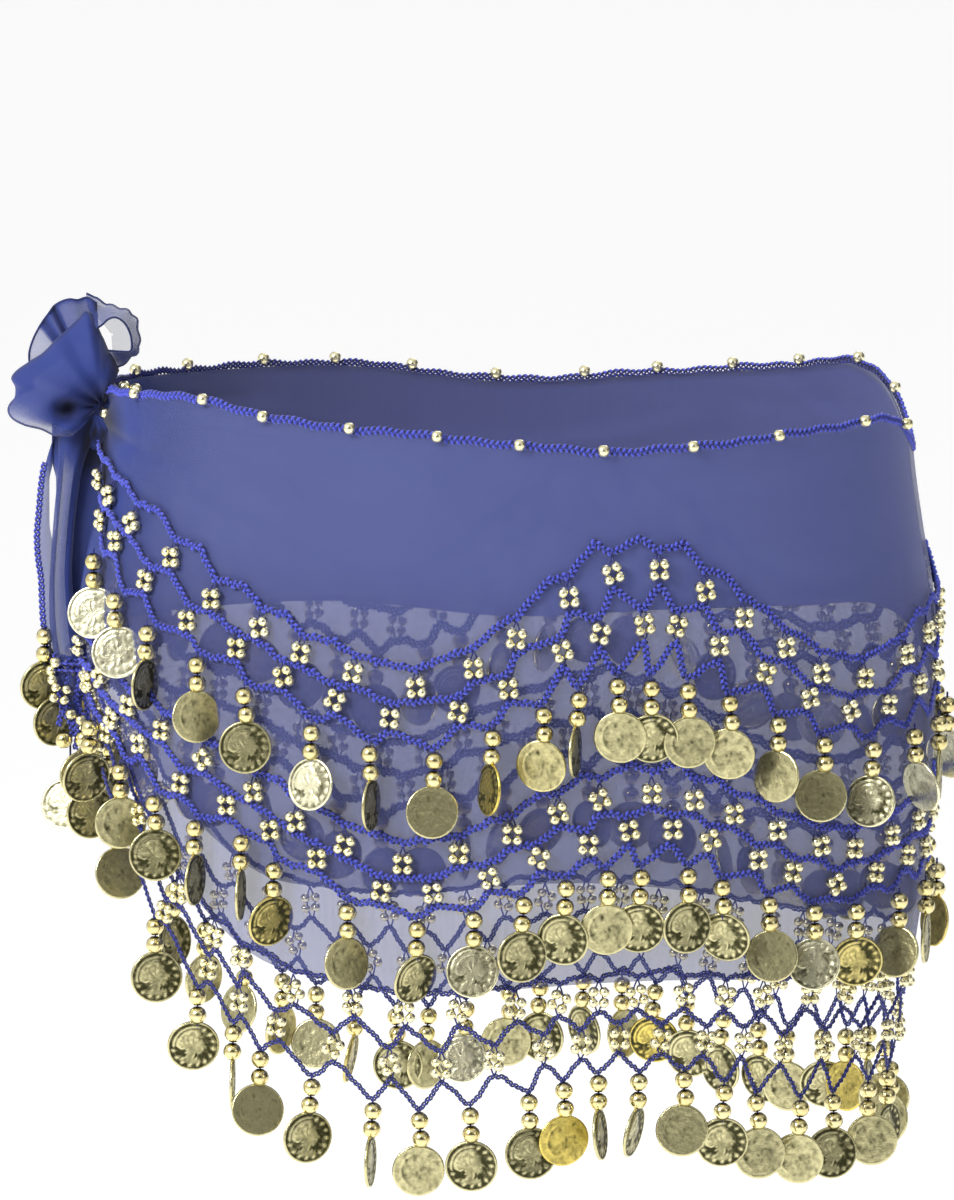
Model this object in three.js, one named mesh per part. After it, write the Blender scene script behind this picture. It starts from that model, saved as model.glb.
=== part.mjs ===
// Hip scarf for dancing, worn and tied at the wearer's right hip.
// One long strip of chiffon goes once round the hips and is knotted, so its top edge is a ring.
// +X is the wearer's left, -Y the front, +Z up. Millimetres.
// The origin is the centre of the waist opening, at the mean height of the top edge.

import * as THREE from "three";

// Driving sizes
const CLOTH = 1.2; // wall of every cloth piece
const SEAM = 0.3; // gap between neighbouring pieces
const LAYER = 0.9; // gap between a panel and what lies on it
const NET = 1.6; // wall of a crochet net panel
const FRINGE = 5.2; // depth of a coin row's reach
const EDGING = 2.8; // height and width of the crochet edging cord
const COIN = 21; // coin diameter
const BEAD = 8; // large bead diameter
const DANGLE = 2 * BEAD + COIN / 2 - 1; // from a net's low point to its coin's centre
const BAND_DEPTH = 100; // doubled top band inside the back stretch
const SCALLOP = 185; // length of one wave of the nets along the hips
const SCALLOP_LOW = -40; // arc length, from the front centre, of one low point of the wave
const STEPS_AROUND = 30; // facets along each stretch
const SIDE_SEAM = 90; // degrees, where the front stretch becomes the back stretch
const FRONT_END = -84; // degrees, where the front stretch goes into the knot
const BACK_END = 264; // degrees, where the back stretch goes into the knot
const SIDE_DIP = -16; // how far the top edge sinks over the wearer's left side
const SIDE_DIP_WIDTH = 12; // degrees

// Horizontal sections of the general hip form under the cloth
const FORM = [
  { z: -300, halfWidth: 150, front: 104, back: 106 },
  { z: -250, halfWidth: 159, front: 110, back: 112 },
  { z: -215, halfWidth: 165, front: 113, back: 116 },
  { z: -180, halfWidth: 169.5, front: 116, back: 121 },
  { z: -140, halfWidth: 171.5, front: 118, back: 124 },
  { z: -95, halfWidth: 173, front: 119, back: 126 },
  { z: -72, halfWidth: 171.5, front: 118, back: 124 },
  { z: -45, halfWidth: 167, front: 115, back: 120 },
  { z: -20, halfWidth: 163.5, front: 112, back: 116 },
  { z: 0, halfWidth: 162, front: 110, back: 112 },
  { z: 25, halfWidth: 160, front: 107, back: 108 },
];

// Height of the top edge round the waist, without the dip over the left side
const TOP_EDGE = [
  { angle: -96, z: 9 },
  { angle: -84, z: 10 },
  { angle: -48, z: 14 },
  { angle: -36, z: 9 },
  { angle: -10, z: 4 },
  { angle: 15, z: -2 },
  { angle: 41, z: 1 },
  { angle: 62, z: 3 },
  { angle: 90, z: 2 },
  { angle: 118, z: 13 },
  { angle: 135, z: 8 },
  { angle: 158, z: 2 },
  { angle: 180, z: -2 },
  { angle: 204, z: 6 },
  { angle: 233, z: 8 },
  { angle: 264, z: 10 },
  { angle: 276, z: 9 },
];

// Heights of the hem and of each net's top line and coin centres, by angle from the knot,
// where the strip narrows into the knot
const FAN = [
  { fromKnot: 6, hem: -76, line1: -22, coins1: -74, line2: -80, coins2: -114, coins3: -140 },
  { fromKnot: 15, hem: -104, line1: -28, coins1: -87, line2: -92, coins2: -134, coins3: -160 },
  { fromKnot: 23, hem: -122, line1: -33, coins1: -93, line2: -99, coins2: -149, coins3: -178 },
  { fromKnot: 28, hem: -136, line1: -34, coins1: -98, line2: -103, coins2: -159, coins3: -196 },
  { fromKnot: 36, hem: -166, line1: -37, coins1: -104, line2: -108, coins2: -170, coins3: -230 },
  { fromKnot: 44, hem: -188, line1: -52, coins1: -111, line2: -118, coins2: -178, coins3: -250 },
  { fromKnot: 53, hem: -206, line1: -62, coins1: -121, line2: -130, coins2: -184, coins3: -268 },
  { fromKnot: 63, hem: -213, line1: -76, coins1: -136, line2: -145, coins2: -200, coins3: -279 },
  { fromKnot: 76, hem: -217, line1: -87, coins1: -146, line2: -157, coins2: -214, coins3: -288 },
];

// Mean height and wave of the same lines away from the knot
const LINES = {
  hem: { mean: -215, wave: 2 },
  line1: { mean: -61, wave: 26 },
  coins1: { mean: -131, wave: 15 },
  line2: { mean: -142, wave: 15 },
  coins2: { mean: -204, wave: 11 },
  coins3: { mean: -280, wave: 8 },
};

// The tie at the wearer's right hip
const KNOT = new THREE.Vector3(-166, 0, 1);
const KNOT_RADII = new THREE.Vector3(12, 11, 15);
const BOW = { x: -163, z: 4 }; // where the bow's folds fan out from

// Root and reach of the bow's two fans from BOW, by angle above +X in the XZ plane
const FRONT_FAN = [
  { angle: 98, root: 12, reach: 42 },
  { angle: 106, root: 10, reach: 36 },
  { angle: 130, root: 9, reach: 31 },
  { angle: 151, root: 8, reach: 34 },
  { angle: 160, root: 8, reach: 38 },
  { angle: 171, root: 8, reach: 35 },
  { angle: 182, root: 8, reach: 38 },
  { angle: 193, root: 8, reach: 31 },
  { angle: 209, root: 8, reach: 22 },
];
const BACK_FAN = [
  { angle: 101, root: 14, reach: 46 },
  { angle: 106, root: 14, reach: 47 },
  { angle: 121, root: 14, reach: 42 },
  { angle: 136, root: 14, reach: 37 },
  { angle: 150, root: 14, reach: 34 },
];
const FRONT_ROOT_Y = -13.5;
const BACK_ROOT_Y = -7.5;
const LOOP = { x: -157, y: -16, z: 31, halfWidth: 10, halfHeight: 12, depth: 18 };

// The hanging tail, a strip rolled round an open slit at its back, by height
const TAIL = [
  { z: -116, x: -177, halfWidth: 7.5, halfDepth: 6 },
  { z: -75, x: -178.5, halfWidth: 6.8, halfDepth: 6 },
  { z: -40, x: -176, halfWidth: 7.2, halfDepth: 6 },
  { z: -15, x: -172, halfWidth: 7.5, halfDepth: 5 },
];
const TAIL_SLIT = 40; // degrees
const TAIL_COINS = { halfWidth: 11, halfDepth: 8, foot: -168 }; // reach of the coins at its foot

const COLOUR = {
  chiffon: { color: 0x4a55a0, roughness: 0.75, metalness: 0 },
  crochet: { color: 0x3038b8, roughness: 0.6, metalness: 0 },
  coin: { color: 0xb8a860, roughness: 0.35, metalness: 1 },
};

const radians = THREE.MathUtils.degToRad;

// Value of a named column of a table at x, by cubic curves through its rows.
function along(table, key, column, x) {
  const last = table.length - 1;
  let i = 0;
  while (i < last - 1 && table[i + 1][key] < x) i++;
  const slope = (j) => {
    const before = table[Math.max(j - 1, 0)];
    const after = table[Math.min(j + 1, last)];
    return (after[column] - before[column]) / (after[key] - before[key]);
  };
  const span = table[i + 1][key] - table[i][key];
  const t = THREE.MathUtils.clamp((x - table[i][key]) / span, 0, 1);
  const rise = t * t * (3 - 2 * t);
  return (
    table[i][column] * (1 - rise) +
    table[i + 1][column] * rise +
    span * (slope(i) * t * (1 - t) * (1 - t) - slope(i + 1) * t * t * (1 - t))
  );
}

// Arc length along the hips from the front centre, at hip height.
const ARC = (() => {
  const rows = [];
  let length = 0;
  for (let angle = -96; angle <= 276; angle += 2) {
    if (angle > -96) {
      const middle = radians(angle - 1);
      length += Math.hypot(172 * Math.cos(middle), 120 * Math.sin(middle)) * radians(2);
    }
    rows.push({ angle, length });
  }
  const centre = rows.find((row) => row.angle === 0).length;
  return rows.map((row) => ({ angle: row.angle, length: row.length - centre }));
})();

const dip = (angle) => SIDE_DIP * Math.exp(-(((angle - SIDE_SEAM) / SIDE_DIP_WIDTH) ** 2));
const topEdge = (angle) => along(TOP_EDGE, "angle", "z", angle) + dip(angle);

// Height of a named line at an angle: the fan near the knot, the wave elsewhere.
function height(line, angle) {
  const fromKnot = Math.min(angle + 90, 270 - angle);
  const phase = (along(ARC, "angle", "length", angle) - SCALLOP_LOW) / SCALLOP;
  const { mean, wave } = LINES[line];
  const open = mean - wave * Math.cos(2 * Math.PI * phase) + 0.8 * dip(angle);
  const end = FAN[FAN.length - 1].fromKnot;
  const share = THREE.MathUtils.smoothstep(fromKnot, end - 14, end + 6);
  return (1 - share) * along(FAN, "fromKnot", line, Math.min(fromKnot, end)) + share * open;
}

// Gather folds that run out of the knot and die away round the hips.
function gathers(angle, z) {
  const fromKnot = Math.min(angle + 90, 270 - angle);
  const direction = Math.atan2(z - KNOT.z, fromKnot * 2.2);
  return 1.3 * Math.exp(-((fromKnot / 26) ** 2)) * Math.cos(9 * direction);
}

// Point on the cloth at an angle round the hips and a height, moved out of the form by offset.
function onForm(angle, z, offset) {
  const turn = radians(angle);
  const halfWidth = along(FORM, "z", "halfWidth", z);
  const depth = along(FORM, "z", Math.cos(turn) > 0 ? "front" : "back", z);
  const out = new THREE.Vector2(Math.sin(turn) / halfWidth, -Math.cos(turn) / depth).normalize();
  const reach = offset + gathers(angle, z);
  return new THREE.Vector3(
    halfWidth * Math.sin(turn) + out.x * reach,
    -depth * Math.cos(turn) + out.y * reach,
    z,
  );
}

// Closed wall between two grids of points, outer(u, v) and inner(u, v), with u and v from 0 to 1.
function wall(outer, inner, across, down) {
  const vertices = [];
  for (const face of [outer, inner])
    for (let i = 0; i <= across; i++)
      for (let j = 0; j <= down; j++) vertices.push(...face(i / across, j / down).toArray());
  const row = down + 1;
  const layer = (across + 1) * row;
  const faces = [];
  const quad = (a, b, c, d) => faces.push(a, b, c, a, c, d);
  for (let i = 0; i < across; i++)
    for (let j = 0; j < down; j++) {
      const a = i * row + j;
      quad(a, a + 1, a + row + 1, a + row);
      quad(layer + a, layer + a + row, layer + a + row + 1, layer + a + 1);
    }
  for (let i = 0; i < across; i++) {
    const top = i * row;
    const bottom = top + down;
    quad(top, top + row, layer + top + row, layer + top);
    quad(bottom + row, bottom, layer + bottom, layer + bottom + row);
  }
  for (let j = 0; j < down; j++) {
    const start = j;
    const end = across * row + j;
    quad(start + 1, start, layer + start, layer + start + 1);
    quad(end, end + 1, layer + end + 1, layer + end);
  }
  const geometry = new THREE.BufferGeometry();
  geometry.setAttribute("position", new THREE.Float32BufferAttribute(vertices, 3));
  geometry.setIndex(faces);
  return facingOut(geometry);
}

// Turns a closed geometry's faces round if they point in.
function facingOut(geometry) {
  const { array } = geometry.attributes.position;
  const index = geometry.index.array;
  const corner = (i) => new THREE.Vector3().fromArray(array, 3 * index[i]);
  let volume = 0;
  for (let i = 0; i < index.length; i += 3)
    volume += corner(i).dot(corner(i + 1).cross(corner(i + 2)));
  if (volume < 0) geometry.setIndex([...index].reverse());
  geometry.computeVertexNormals();
  return geometry;
}

// Wall of a given thickness on one side of a free surface at(u, v).
function sheetWall(at, thickness, across, down) {
  const step = 1e-3;
  const inner = (u, v) => {
    const alongU = at(Math.min(u + step, 1), v).sub(at(Math.max(u - step, 0), v));
    const alongV = at(u, Math.min(v + step, 1)).sub(at(u, Math.max(v - step, 0)));
    return at(u, v).addScaledVector(alongU.cross(alongV).normalize(), thickness);
  };
  return wall(at, inner, across, down);
}

const scarf = new THREE.Group();

function add(name, geometry, look) {
  const mesh = new THREE.Mesh(geometry, new THREE.MeshStandardMaterial(look));
  mesh.name = name;
  scarf.add(mesh);
}

// Wall on the form over a stretch, between two heights, with its inner face at inside.
function onStretch(stretch, top, bottom, inside, thickness, down, across = STEPS_AROUND) {
  const at = (u, v, offset) => {
    const angle = THREE.MathUtils.lerp(stretch.from, stretch.to, u);
    return onForm(angle, THREE.MathUtils.lerp(top(angle), bottom(angle), v), offset);
  };
  return wall(
    (u, v) => at(u, v, inside + thickness),
    (u, v) => at(u, v, inside),
    across,
    down,
  );
}

const SEAM_ANGLE = THREE.MathUtils.radToDeg(SEAM / 118);
const STRETCHES = [
  { name: "front", from: FRONT_END, to: SIDE_SEAM - SEAM_ANGLE, lengths: ["right", "middle", "left"] },
  { name: "back", from: SIDE_SEAM, to: BACK_END, lengths: ["left", "middle", "right"] },
];

// One of a stretch's equal lengths, a seam short of the next one.
function lengthOf(stretch, i) {
  const step = (stretch.to - stretch.from) / stretch.lengths.length;
  const from = stretch.from + i * step;
  return { from, to: from + step - SEAM_ANGLE };
}

const netOffset = CLOTH + LAYER;
const fringeOffset = netOffset + NET + LAYER;
const freeFringeOffset = (NET - FRINGE) / 2; // centred under the net that hangs free of the cloth

for (const stretch of STRETCHES) {
  const hem = (angle) => height("hem", angle);
  add(`cloth_${stretch.name}`, onStretch(stretch, topEdge, hem, 0, CLOTH, 8), COLOUR.chiffon);

  // Crochet edging, sitting on the top edge of the cloth
  const edgingFoot = (angle) => topEdge(angle) + SEAM;
  const edgingTop = (angle) => topEdge(angle) + SEAM + EDGING;
  const edgingInside = (CLOTH - EDGING) / 2;
  const edging = onStretch(stretch, edgingTop, edgingFoot, edgingInside, EDGING, 1);
  add(`edging_${stretch.name}`, edging, COLOUR.crochet);

  // Three tiers of crochet net, each with its row of beads and coins
  const tiers = [
    { line: (angle) => height("line1", angle), coins: "coins1", inside: netOffset },
    { line: (angle) => height("line2", angle), coins: "coins2", inside: netOffset },
    { line: (angle) => hem(angle) - SEAM, coins: "coins3", inside: 0 },
  ];
  tiers.forEach(({ line, coins, inside }, i) => {
    const netFoot = (angle) => height(coins, angle) + DANGLE;
    const net = onStretch(stretch, line, netFoot, inside, NET, 2);
    add(`net_${stretch.name}_${i + 1}`, net, COLOUR.crochet);
    const fringeTop = (angle) => netFoot(angle) - LAYER;
    const fringeFoot = (angle) => height(coins, angle) - COIN / 2;
    const fringeOn = (where, offset, steps) =>
      onStretch(where, fringeTop, fringeFoot, offset, FRINGE, 1, steps);
    const name = `coins_${stretch.name}_${i + 1}`;
    if (inside > 0) {
      add(name, fringeOn(stretch, fringeOffset, STEPS_AROUND), COLOUR.coin);
      return;
    }
    // The free row hangs in three lengths, each bent to the curve of the hips
    const steps = STEPS_AROUND / stretch.lengths.length;
    stretch.lengths.forEach((length, k) => {
      const piece = fringeOn(lengthOf(stretch, k), freeFringeOffset, steps);
      add(`${name}_${length}`, piece, COLOUR.coin);
    });
  });
}

// Doubled top band, inside the back stretch
const bandStretch = { from: 92, to: 256 };
const bandTop = (angle) => topEdge(angle) - 1.5;
const bandFoot = (angle) => topEdge(angle) - BAND_DEPTH;
const bandInside = -(CLOTH + LAYER);
add("band_inner", onStretch(bandStretch, bandTop, bandFoot, bandInside, CLOTH, 4), COLOUR.chiffon);

// Knot: a bound lump with three wraps round it
const wraps = 3;
const knotProfile = Array.from({ length: 13 }, (_, i) => {
  const turn = (Math.PI * i) / 12;
  const swell = 1 + 0.06 * Math.cos(2 * wraps * turn);
  return new THREE.Vector2(Math.sin(turn) * swell, -Math.cos(turn));
});
knotProfile[0].x = 0;
knotProfile[12].x = 0;
const knot = new THREE.LatheGeometry(knotProfile, 16).rotateX(Math.PI / 2);
knot.scale(...KNOT_RADII.toArray()).translate(...KNOT.toArray());
add("knot", knot, COLOUR.chiffon);

// One fan of the bow: radial folds from root to reach, swelling towards -Y just past the root
function fan(table, rootY, swell, folds) {
  const first = table[0].angle;
  const last = table[table.length - 1].angle;
  return (u, v) => {
    const angle = THREE.MathUtils.lerp(first, last, u);
    const root = along(table, "angle", "root", angle);
    const reach = THREE.MathUtils.lerp(root, along(table, "angle", "reach", angle), v);
    const lift = swell * Math.sin(Math.PI * Math.min(v, 0.8)) + folds * v * Math.cos(6 * Math.PI * u);
    return new THREE.Vector3(
      BOW.x + reach * Math.cos(radians(angle)),
      rootY - swell * v - lift,
      BOW.z + reach * Math.sin(radians(angle)),
    );
  };
}
add("bow_front", sheetWall(fan(FRONT_FAN, FRONT_ROOT_Y, 9, 1.5), CLOTH, 16, 6), COLOUR.chiffon);
add("bow_back", sheetWall(fan(BACK_FAN, BACK_ROOT_Y, 1.5, 0.8), CLOTH, 10, 5), COLOUR.chiffon);

// The bow's loop: a ribbon bent round an oval, open where its ends go into the knot
const loopAt = (u, v) => {
  const turn = radians(THREE.MathUtils.lerp(-120, 128, u));
  return new THREE.Vector3(
    LOOP.x + LOOP.halfWidth * Math.cos(turn),
    LOOP.y + LOOP.depth * v,
    LOOP.z + LOOP.halfHeight * Math.sin(turn),
  );
};
add("bow_loop", sheetWall(loopAt, CLOTH, 16, 2), COLOUR.chiffon);

// Tail, its crochet edging and the bit of net and coins at its foot
function tailAt(u, v, offset) {
  const z = THREE.MathUtils.lerp(TAIL[TAIL.length - 1].z, TAIL[0].z, v);
  const turn = radians(THREE.MathUtils.lerp(90 + TAIL_SLIT / 2, 450 - TAIL_SLIT / 2, u));
  return new THREE.Vector3(
    along(TAIL, "z", "x", z) + (along(TAIL, "z", "halfWidth", z) + offset) * Math.cos(turn),
    (along(TAIL, "z", "halfDepth", z) + offset) * Math.sin(turn),
    z,
  );
}
const tail = wall((u, v) => tailAt(u, v, 0), (u, v) => tailAt(u, v, -CLOTH), 16, 5);
add("tail", tail, COLOUR.chiffon);

const rod = (halfWidth, halfDepth, top, foot, x) => {
  const shape = new THREE.CylinderGeometry(1, 1, top - foot, 12).rotateX(Math.PI / 2);
  return shape.scale(halfWidth, halfDepth, 1).translate(x, 0, (top + foot) / 2);
};
const tailFoot = TAIL[0];
const tailSide = tailFoot.x - tailFoot.halfWidth;
const tailEdgingX = tailSide - LAYER - EDGING;
add("edging_tail", rod(EDGING / 2, EDGING / 2, -20, -98, tailEdgingX), COLOUR.crochet);
const netTop = tailFoot.z - SEAM;
const netFoot = netTop - 20;
add("net_tail", rod(6, 4, netTop, netFoot, tailFoot.x), COLOUR.crochet);
add("coins_tail_side", rod(2.8, 8, -98 - SEAM, -132, tailEdgingX), COLOUR.coin);
const { halfWidth, halfDepth, foot } = TAIL_COINS;
add("coins_tail_foot", rod(halfWidth, halfDepth, netFoot - SEAM, foot, tailFoot.x), COLOUR.coin);

export default scarf;
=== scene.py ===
"""Dancer's hip scarf: sheer chiffon strip with crochet nets, gold beads and stamped coins.

The scarf is in the hollow form it takes when worn and tied at the wearer's right hip. Lengths are in
millimetres in the tables and classes, and become metres where a mesh is made.
"""

from __future__ import annotations

import logging
import math
from dataclasses import dataclass, field
from enum import Enum

import bpy
import numpy as np
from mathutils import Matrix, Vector


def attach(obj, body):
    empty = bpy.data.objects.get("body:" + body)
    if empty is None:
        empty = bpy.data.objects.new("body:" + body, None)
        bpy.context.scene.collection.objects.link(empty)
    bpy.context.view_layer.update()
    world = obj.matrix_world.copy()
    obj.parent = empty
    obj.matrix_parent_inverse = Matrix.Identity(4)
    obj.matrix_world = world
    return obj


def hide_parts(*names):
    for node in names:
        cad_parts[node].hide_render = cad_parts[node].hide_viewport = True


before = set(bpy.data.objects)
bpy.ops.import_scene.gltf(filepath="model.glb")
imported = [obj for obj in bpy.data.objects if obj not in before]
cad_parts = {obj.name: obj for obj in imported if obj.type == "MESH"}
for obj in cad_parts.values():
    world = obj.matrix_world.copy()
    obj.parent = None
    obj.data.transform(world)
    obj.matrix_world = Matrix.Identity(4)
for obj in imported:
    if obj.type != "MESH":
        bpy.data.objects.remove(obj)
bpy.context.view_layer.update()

LOG = logging.getLogger("hip_scarf")
METRES = 0.001
Array = np.ndarray


# ---------------------------------------------------------------- form


def table(columns: str, *rows: tuple[float, ...]) -> list[dict[str, float]]:
    """Rows of numbers as dicts, with the columns' names given once."""
    return [dict(zip(columns.split(), row)) for row in rows]


def along(rows: list[dict[str, float]], key: str, name: str, x: Array) -> Array:
    """Value of a named column at x, by cubic curves through the table's rows.

    Between two rows the curve is the Hermite cubic whose end slopes are those of the chord from the
    row before to the row after.

    Args:
        rows: Rows with named columns, in rising order of key.
        key: Column that x is measured along.
        name: Column to read.
        x: Where to read it, of any shape.

    Returns:
        The column's values at x, in x's shape.
    """
    keys, values = (np.array([row[column] for row in rows], dtype=float) for column in (key, name))
    x = np.clip(np.asarray(x, dtype=float), keys[0], keys[-1])
    before = np.maximum(np.arange(len(keys)) - 1, 0)
    after = np.minimum(np.arange(len(keys)) + 1, len(keys) - 1)
    slopes = (values[after] - values[before]) / (keys[after] - keys[before])
    i = np.clip(np.searchsorted(keys, x) - 1, 0, len(keys) - 2)
    span = keys[i + 1] - keys[i]
    t = (x - keys[i]) / span
    rise = t * t * (3 - 2 * t)
    bend = slopes[i] * t * (1 - t) ** 2 - slopes[i + 1] * t * t * (1 - t)
    return values[i] * (1 - rise) + values[i + 1] * rise + span * bend


def smoothstep(x: Array, low: float, high: float) -> Array:
    """0 below low, 1 above high, and an S curve between."""
    t = np.clip((np.asarray(x, dtype=float) - low) / (high - low), 0, 1)
    return t * t * (3 - 2 * t)


FORM = table(
    "z half_width front back",
    (-300, 150, 104, 106),
    (-250, 159, 110, 112),
    (-215, 165, 113, 116),
    (-180, 169.5, 116, 121),
    (-140, 171.5, 118, 124),
    (-95, 173, 119, 126),
    (-72, 171.5, 118, 124),
    (-45, 167, 115, 120),
    (-20, 163.5, 112, 116),
    (0, 162, 110, 112),
    (25, 160, 107, 108),
)

TOP_EDGE = table(
    "angle z",
    (-96, 9), (-84, 10), (-48, 14), (-36, 9), (-10, 4), (15, -2), (41, 1), (62, 3), (90, 2),
    (118, 13), (135, 8), (158, 2), (180, -2), (204, 6), (233, 8), (264, 10), (276, 9),
)

FAN = table(
    "from_knot hem line1 coins1 line2 coins2 coins3",
    (6, -76, -22, -74, -80, -114, -140),
    (15, -104, -28, -87, -92, -134, -160),
    (23, -122, -33, -93, -99, -149, -178),
    (28, -136, -34, -98, -103, -159, -196),
    (36, -166, -37, -104, -108, -170, -230),
    (44, -188, -52, -111, -118, -178, -250),
    (53, -206, -62, -121, -130, -184, -268),
    (63, -213, -76, -136, -145, -200, -279),
    (76, -217, -87, -146, -157, -214, -288),
)

WAVES = {
    "hem": {"mean": -215, "wave": 2},
    "line1": {"mean": -61, "wave": 26},
    "coins1": {"mean": -131, "wave": 15},
    "line2": {"mean": -142, "wave": 15},
    "coins2": {"mean": -204, "wave": 11},
    "coins3": {"mean": -280, "wave": 8},
}

# Soft creases in the chiffon, each from one place on the form to another: an angle and a depth below
# the top edge at each end, then half-width and height, both in millimetres; a trough is negative.
CREASES = table(
    "from drop0 to drop1 width rise",
    (258, 4, 196, 25, 3.4, -3.4),
    (258, 9, 186, 40, 4.2, 3.0),
    (256, 2, 216, 9, 2.4, 2.0),
    (258, 16, 208, 60, 5.0, -2.6),
    (188, 26, 150, 20, 3.4, -1.8),
    (165, 44, 122, 36, 4.0, 1.4),
    (134, 12, 108, 32, 3.4, -1.8),
    (146, 10, 120, 14, 2.6, 1.2),
    (-80, 14, -46, 22, 3.0, -2.0),
    (-80, 20, -34, 50, 4.4, 1.6),
    (-40, 24, 2, 34, 2.8, -1.2),
    (-14, 14, 22, 26, 2.4, 1.1),
    (-30, 62, 4, 74, 3.8, 1.0),
    (14, 8, 46, 22, 2.8, -1.2),
    (30, 40, 74, 58, 4.4, 0.9),
    (96, 16, 140, 60, 5.0, -1.0),
    (210, 90, 160, 112, 5.5, 0.9),
)


@dataclass
class HipForm:
    """The general hip form that the cloth lies on, and the lines of the strip round it."""

    knot_z: float = 0
    scallop: float = 185
    scallop_low: float = -40
    side: float = 90
    side_dip: float = -16
    side_dip_width: float = 12
    front_end: float = -84
    back_end: float = 264

    def __post_init__(self) -> None:
        """Works out arc length round the hips from the front centre, at hip height."""
        self.angles = np.arange(-96, 276.5, 1.0)
        turn = np.radians(self.angles)
        speed = np.hypot(172 * np.cos(turn), 120 * np.sin(turn)) * math.radians(1)
        self.arcs = np.cumsum(speed)
        self.arcs -= np.interp(0, self.angles, self.arcs)

    def arc(self, angle: Array) -> Array:
        """Arc length from the front centre to an angle."""
        return np.interp(angle, self.angles, self.arcs)

    def angle(self, arc: Array) -> Array:
        """Angle round the hips at an arc length from the front centre."""
        return np.interp(arc, self.arcs, self.angles)

    def from_knot(self, angle: Array) -> Array:
        """Angle to the nearer side of the knot."""
        return np.minimum(angle + 90, 270 - angle)

    def dip(self, angle: Array) -> Array:
        """How far the strip sinks over the wearer's left side."""
        return self.side_dip * np.exp(-(((angle - self.side) / self.side_dip_width) ** 2))

    def top(self, angle: Array) -> Array:
        """Height of the strip's top edge."""
        return along(TOP_EDGE, "angle", "z", angle) + self.dip(angle)

    def line(self, name: str, angle: Array) -> Array:
        """Height of a named line: the fan near the knot, and a cosine wave elsewhere.

        Args:
            name: A name in WAVES.
            angle: Angles round the hips, in degrees.

        Returns:
            Heights in millimetres, in angle's shape.
        """
        near = self.from_knot(angle)
        phase = (self.arc(angle) - self.scallop_low) / self.scallop
        shape = WAVES[name]
        waved = shape["mean"] - shape["wave"] * np.cos(2 * np.pi * phase) + 0.8 * self.dip(angle)
        end = FAN[-1]["from_knot"]
        share = smoothstep(near, end - 14, end + 6)
        return (1 - share) * along(FAN, "from_knot", name, np.minimum(near, end)) + share * waved

    def gathers(self, angle: Array, z: Array) -> Array:
        """Folds that run out of the knot: a cosine of the direction from it, dying away round the hips."""
        near = self.from_knot(angle)
        direction = np.arctan2(z - self.knot_z, near * 2.2)
        return 1.3 * np.exp(-((near / 26) ** 2)) * np.cos(9 * direction)

    def creases(self, angle: Array, z: Array) -> Array:
        """Sum of the listed creases: a bell across each one, thinning to nothing at its ends."""
        total = np.zeros(np.broadcast(angle, z).shape)
        arc, drop = self.arc(angle), self.top(angle) - z
        for row in CREASES:
            start = np.array([self.arc(row["from"]), row["drop0"]])
            way = np.array([self.arc(row["to"]), row["drop1"]]) - start
            t = ((arc - start[0]) * way[0] + (drop - start[1]) * way[1]) / (way @ way)
            held = np.clip(t, 0, 1)
            bow = 4 * np.sin(np.pi * held)
            off = np.hypot(arc - start[0] - held * way[0], drop - start[1] - held * way[1] - bow)
            fade = np.sin(np.pi * np.clip(t * 0.92 + 0.06, 0, 1)) ** 0.7
            total += row["rise"] * np.exp(-((off / row["width"]) ** 2)) * fade
        return total

    def point(self, angle: Array, z: Array, offset: Array | float = 0.0) -> Array:
        """Point on the cloth: an ellipse at each height, moved out along its normal.

        Args:
            angle: Angle round the hips from the front centre, in degrees, towards +X.
            z: Height in millimetres.
            offset: Distance out of the form, in millimetres.

        Returns:
            An array of shape (..., 3), in millimetres.
        """
        angle, z, offset = np.broadcast_arrays(np.asarray(angle, float), np.asarray(z, float), offset)
        turn = np.radians(angle)
        sin, cos = np.sin(turn), np.cos(turn)
        half_width = along(FORM, "z", "half_width", z)
        depth = np.where(cos > 0, along(FORM, "z", "front", z), along(FORM, "z", "back", z))
        out_x, out_y = sin / half_width, -cos / depth
        length = np.hypot(out_x, out_y)
        reach = offset + self.gathers(angle, z) + self.creases(angle, z)
        return np.stack(
            [half_width * sin + out_x / length * reach, -depth * cos + out_y / length * reach, z], axis=-1
        )

    def outward(self, angle: Array) -> Array:
        """Level unit vector out of the form at an angle."""
        turn = np.radians(np.asarray(angle, float))
        out = np.stack([np.sin(turn) / 172, -np.cos(turn) / 120, np.zeros_like(turn)], axis=-1)
        return out / np.linalg.norm(out, axis=-1, keepdims=True)


FORM_OF_HIPS = HipForm()


# ---------------------------------------------------------------- mesh building


def unit(vectors: Array) -> Array:
    """Vectors of length one, with nothing done to those of no length."""
    length = np.linalg.norm(vectors, axis=-1, keepdims=True)
    return vectors / np.where(length > 1e-12, length, 1)


def grid_quads(rows: int, columns: int, wrap: bool = False) -> Array:
    """Quads of a grid of points, counted row by row.

    Args:
        rows: Number of rows of points.
        columns: Number of points in a row.
        wrap: Whether each row closes on itself.

    Returns:
        An (n, 4) array of corner numbers.
    """
    across = columns if wrap else columns - 1
    i, j = np.meshgrid(np.arange(rows - 1), np.arange(across), indexing="ij")
    k = (j + 1) % columns
    near, far = i * columns, (i + 1) * columns
    return np.stack([near + j, near + k, far + k, far + j], -1).reshape(-1, 4)


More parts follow.
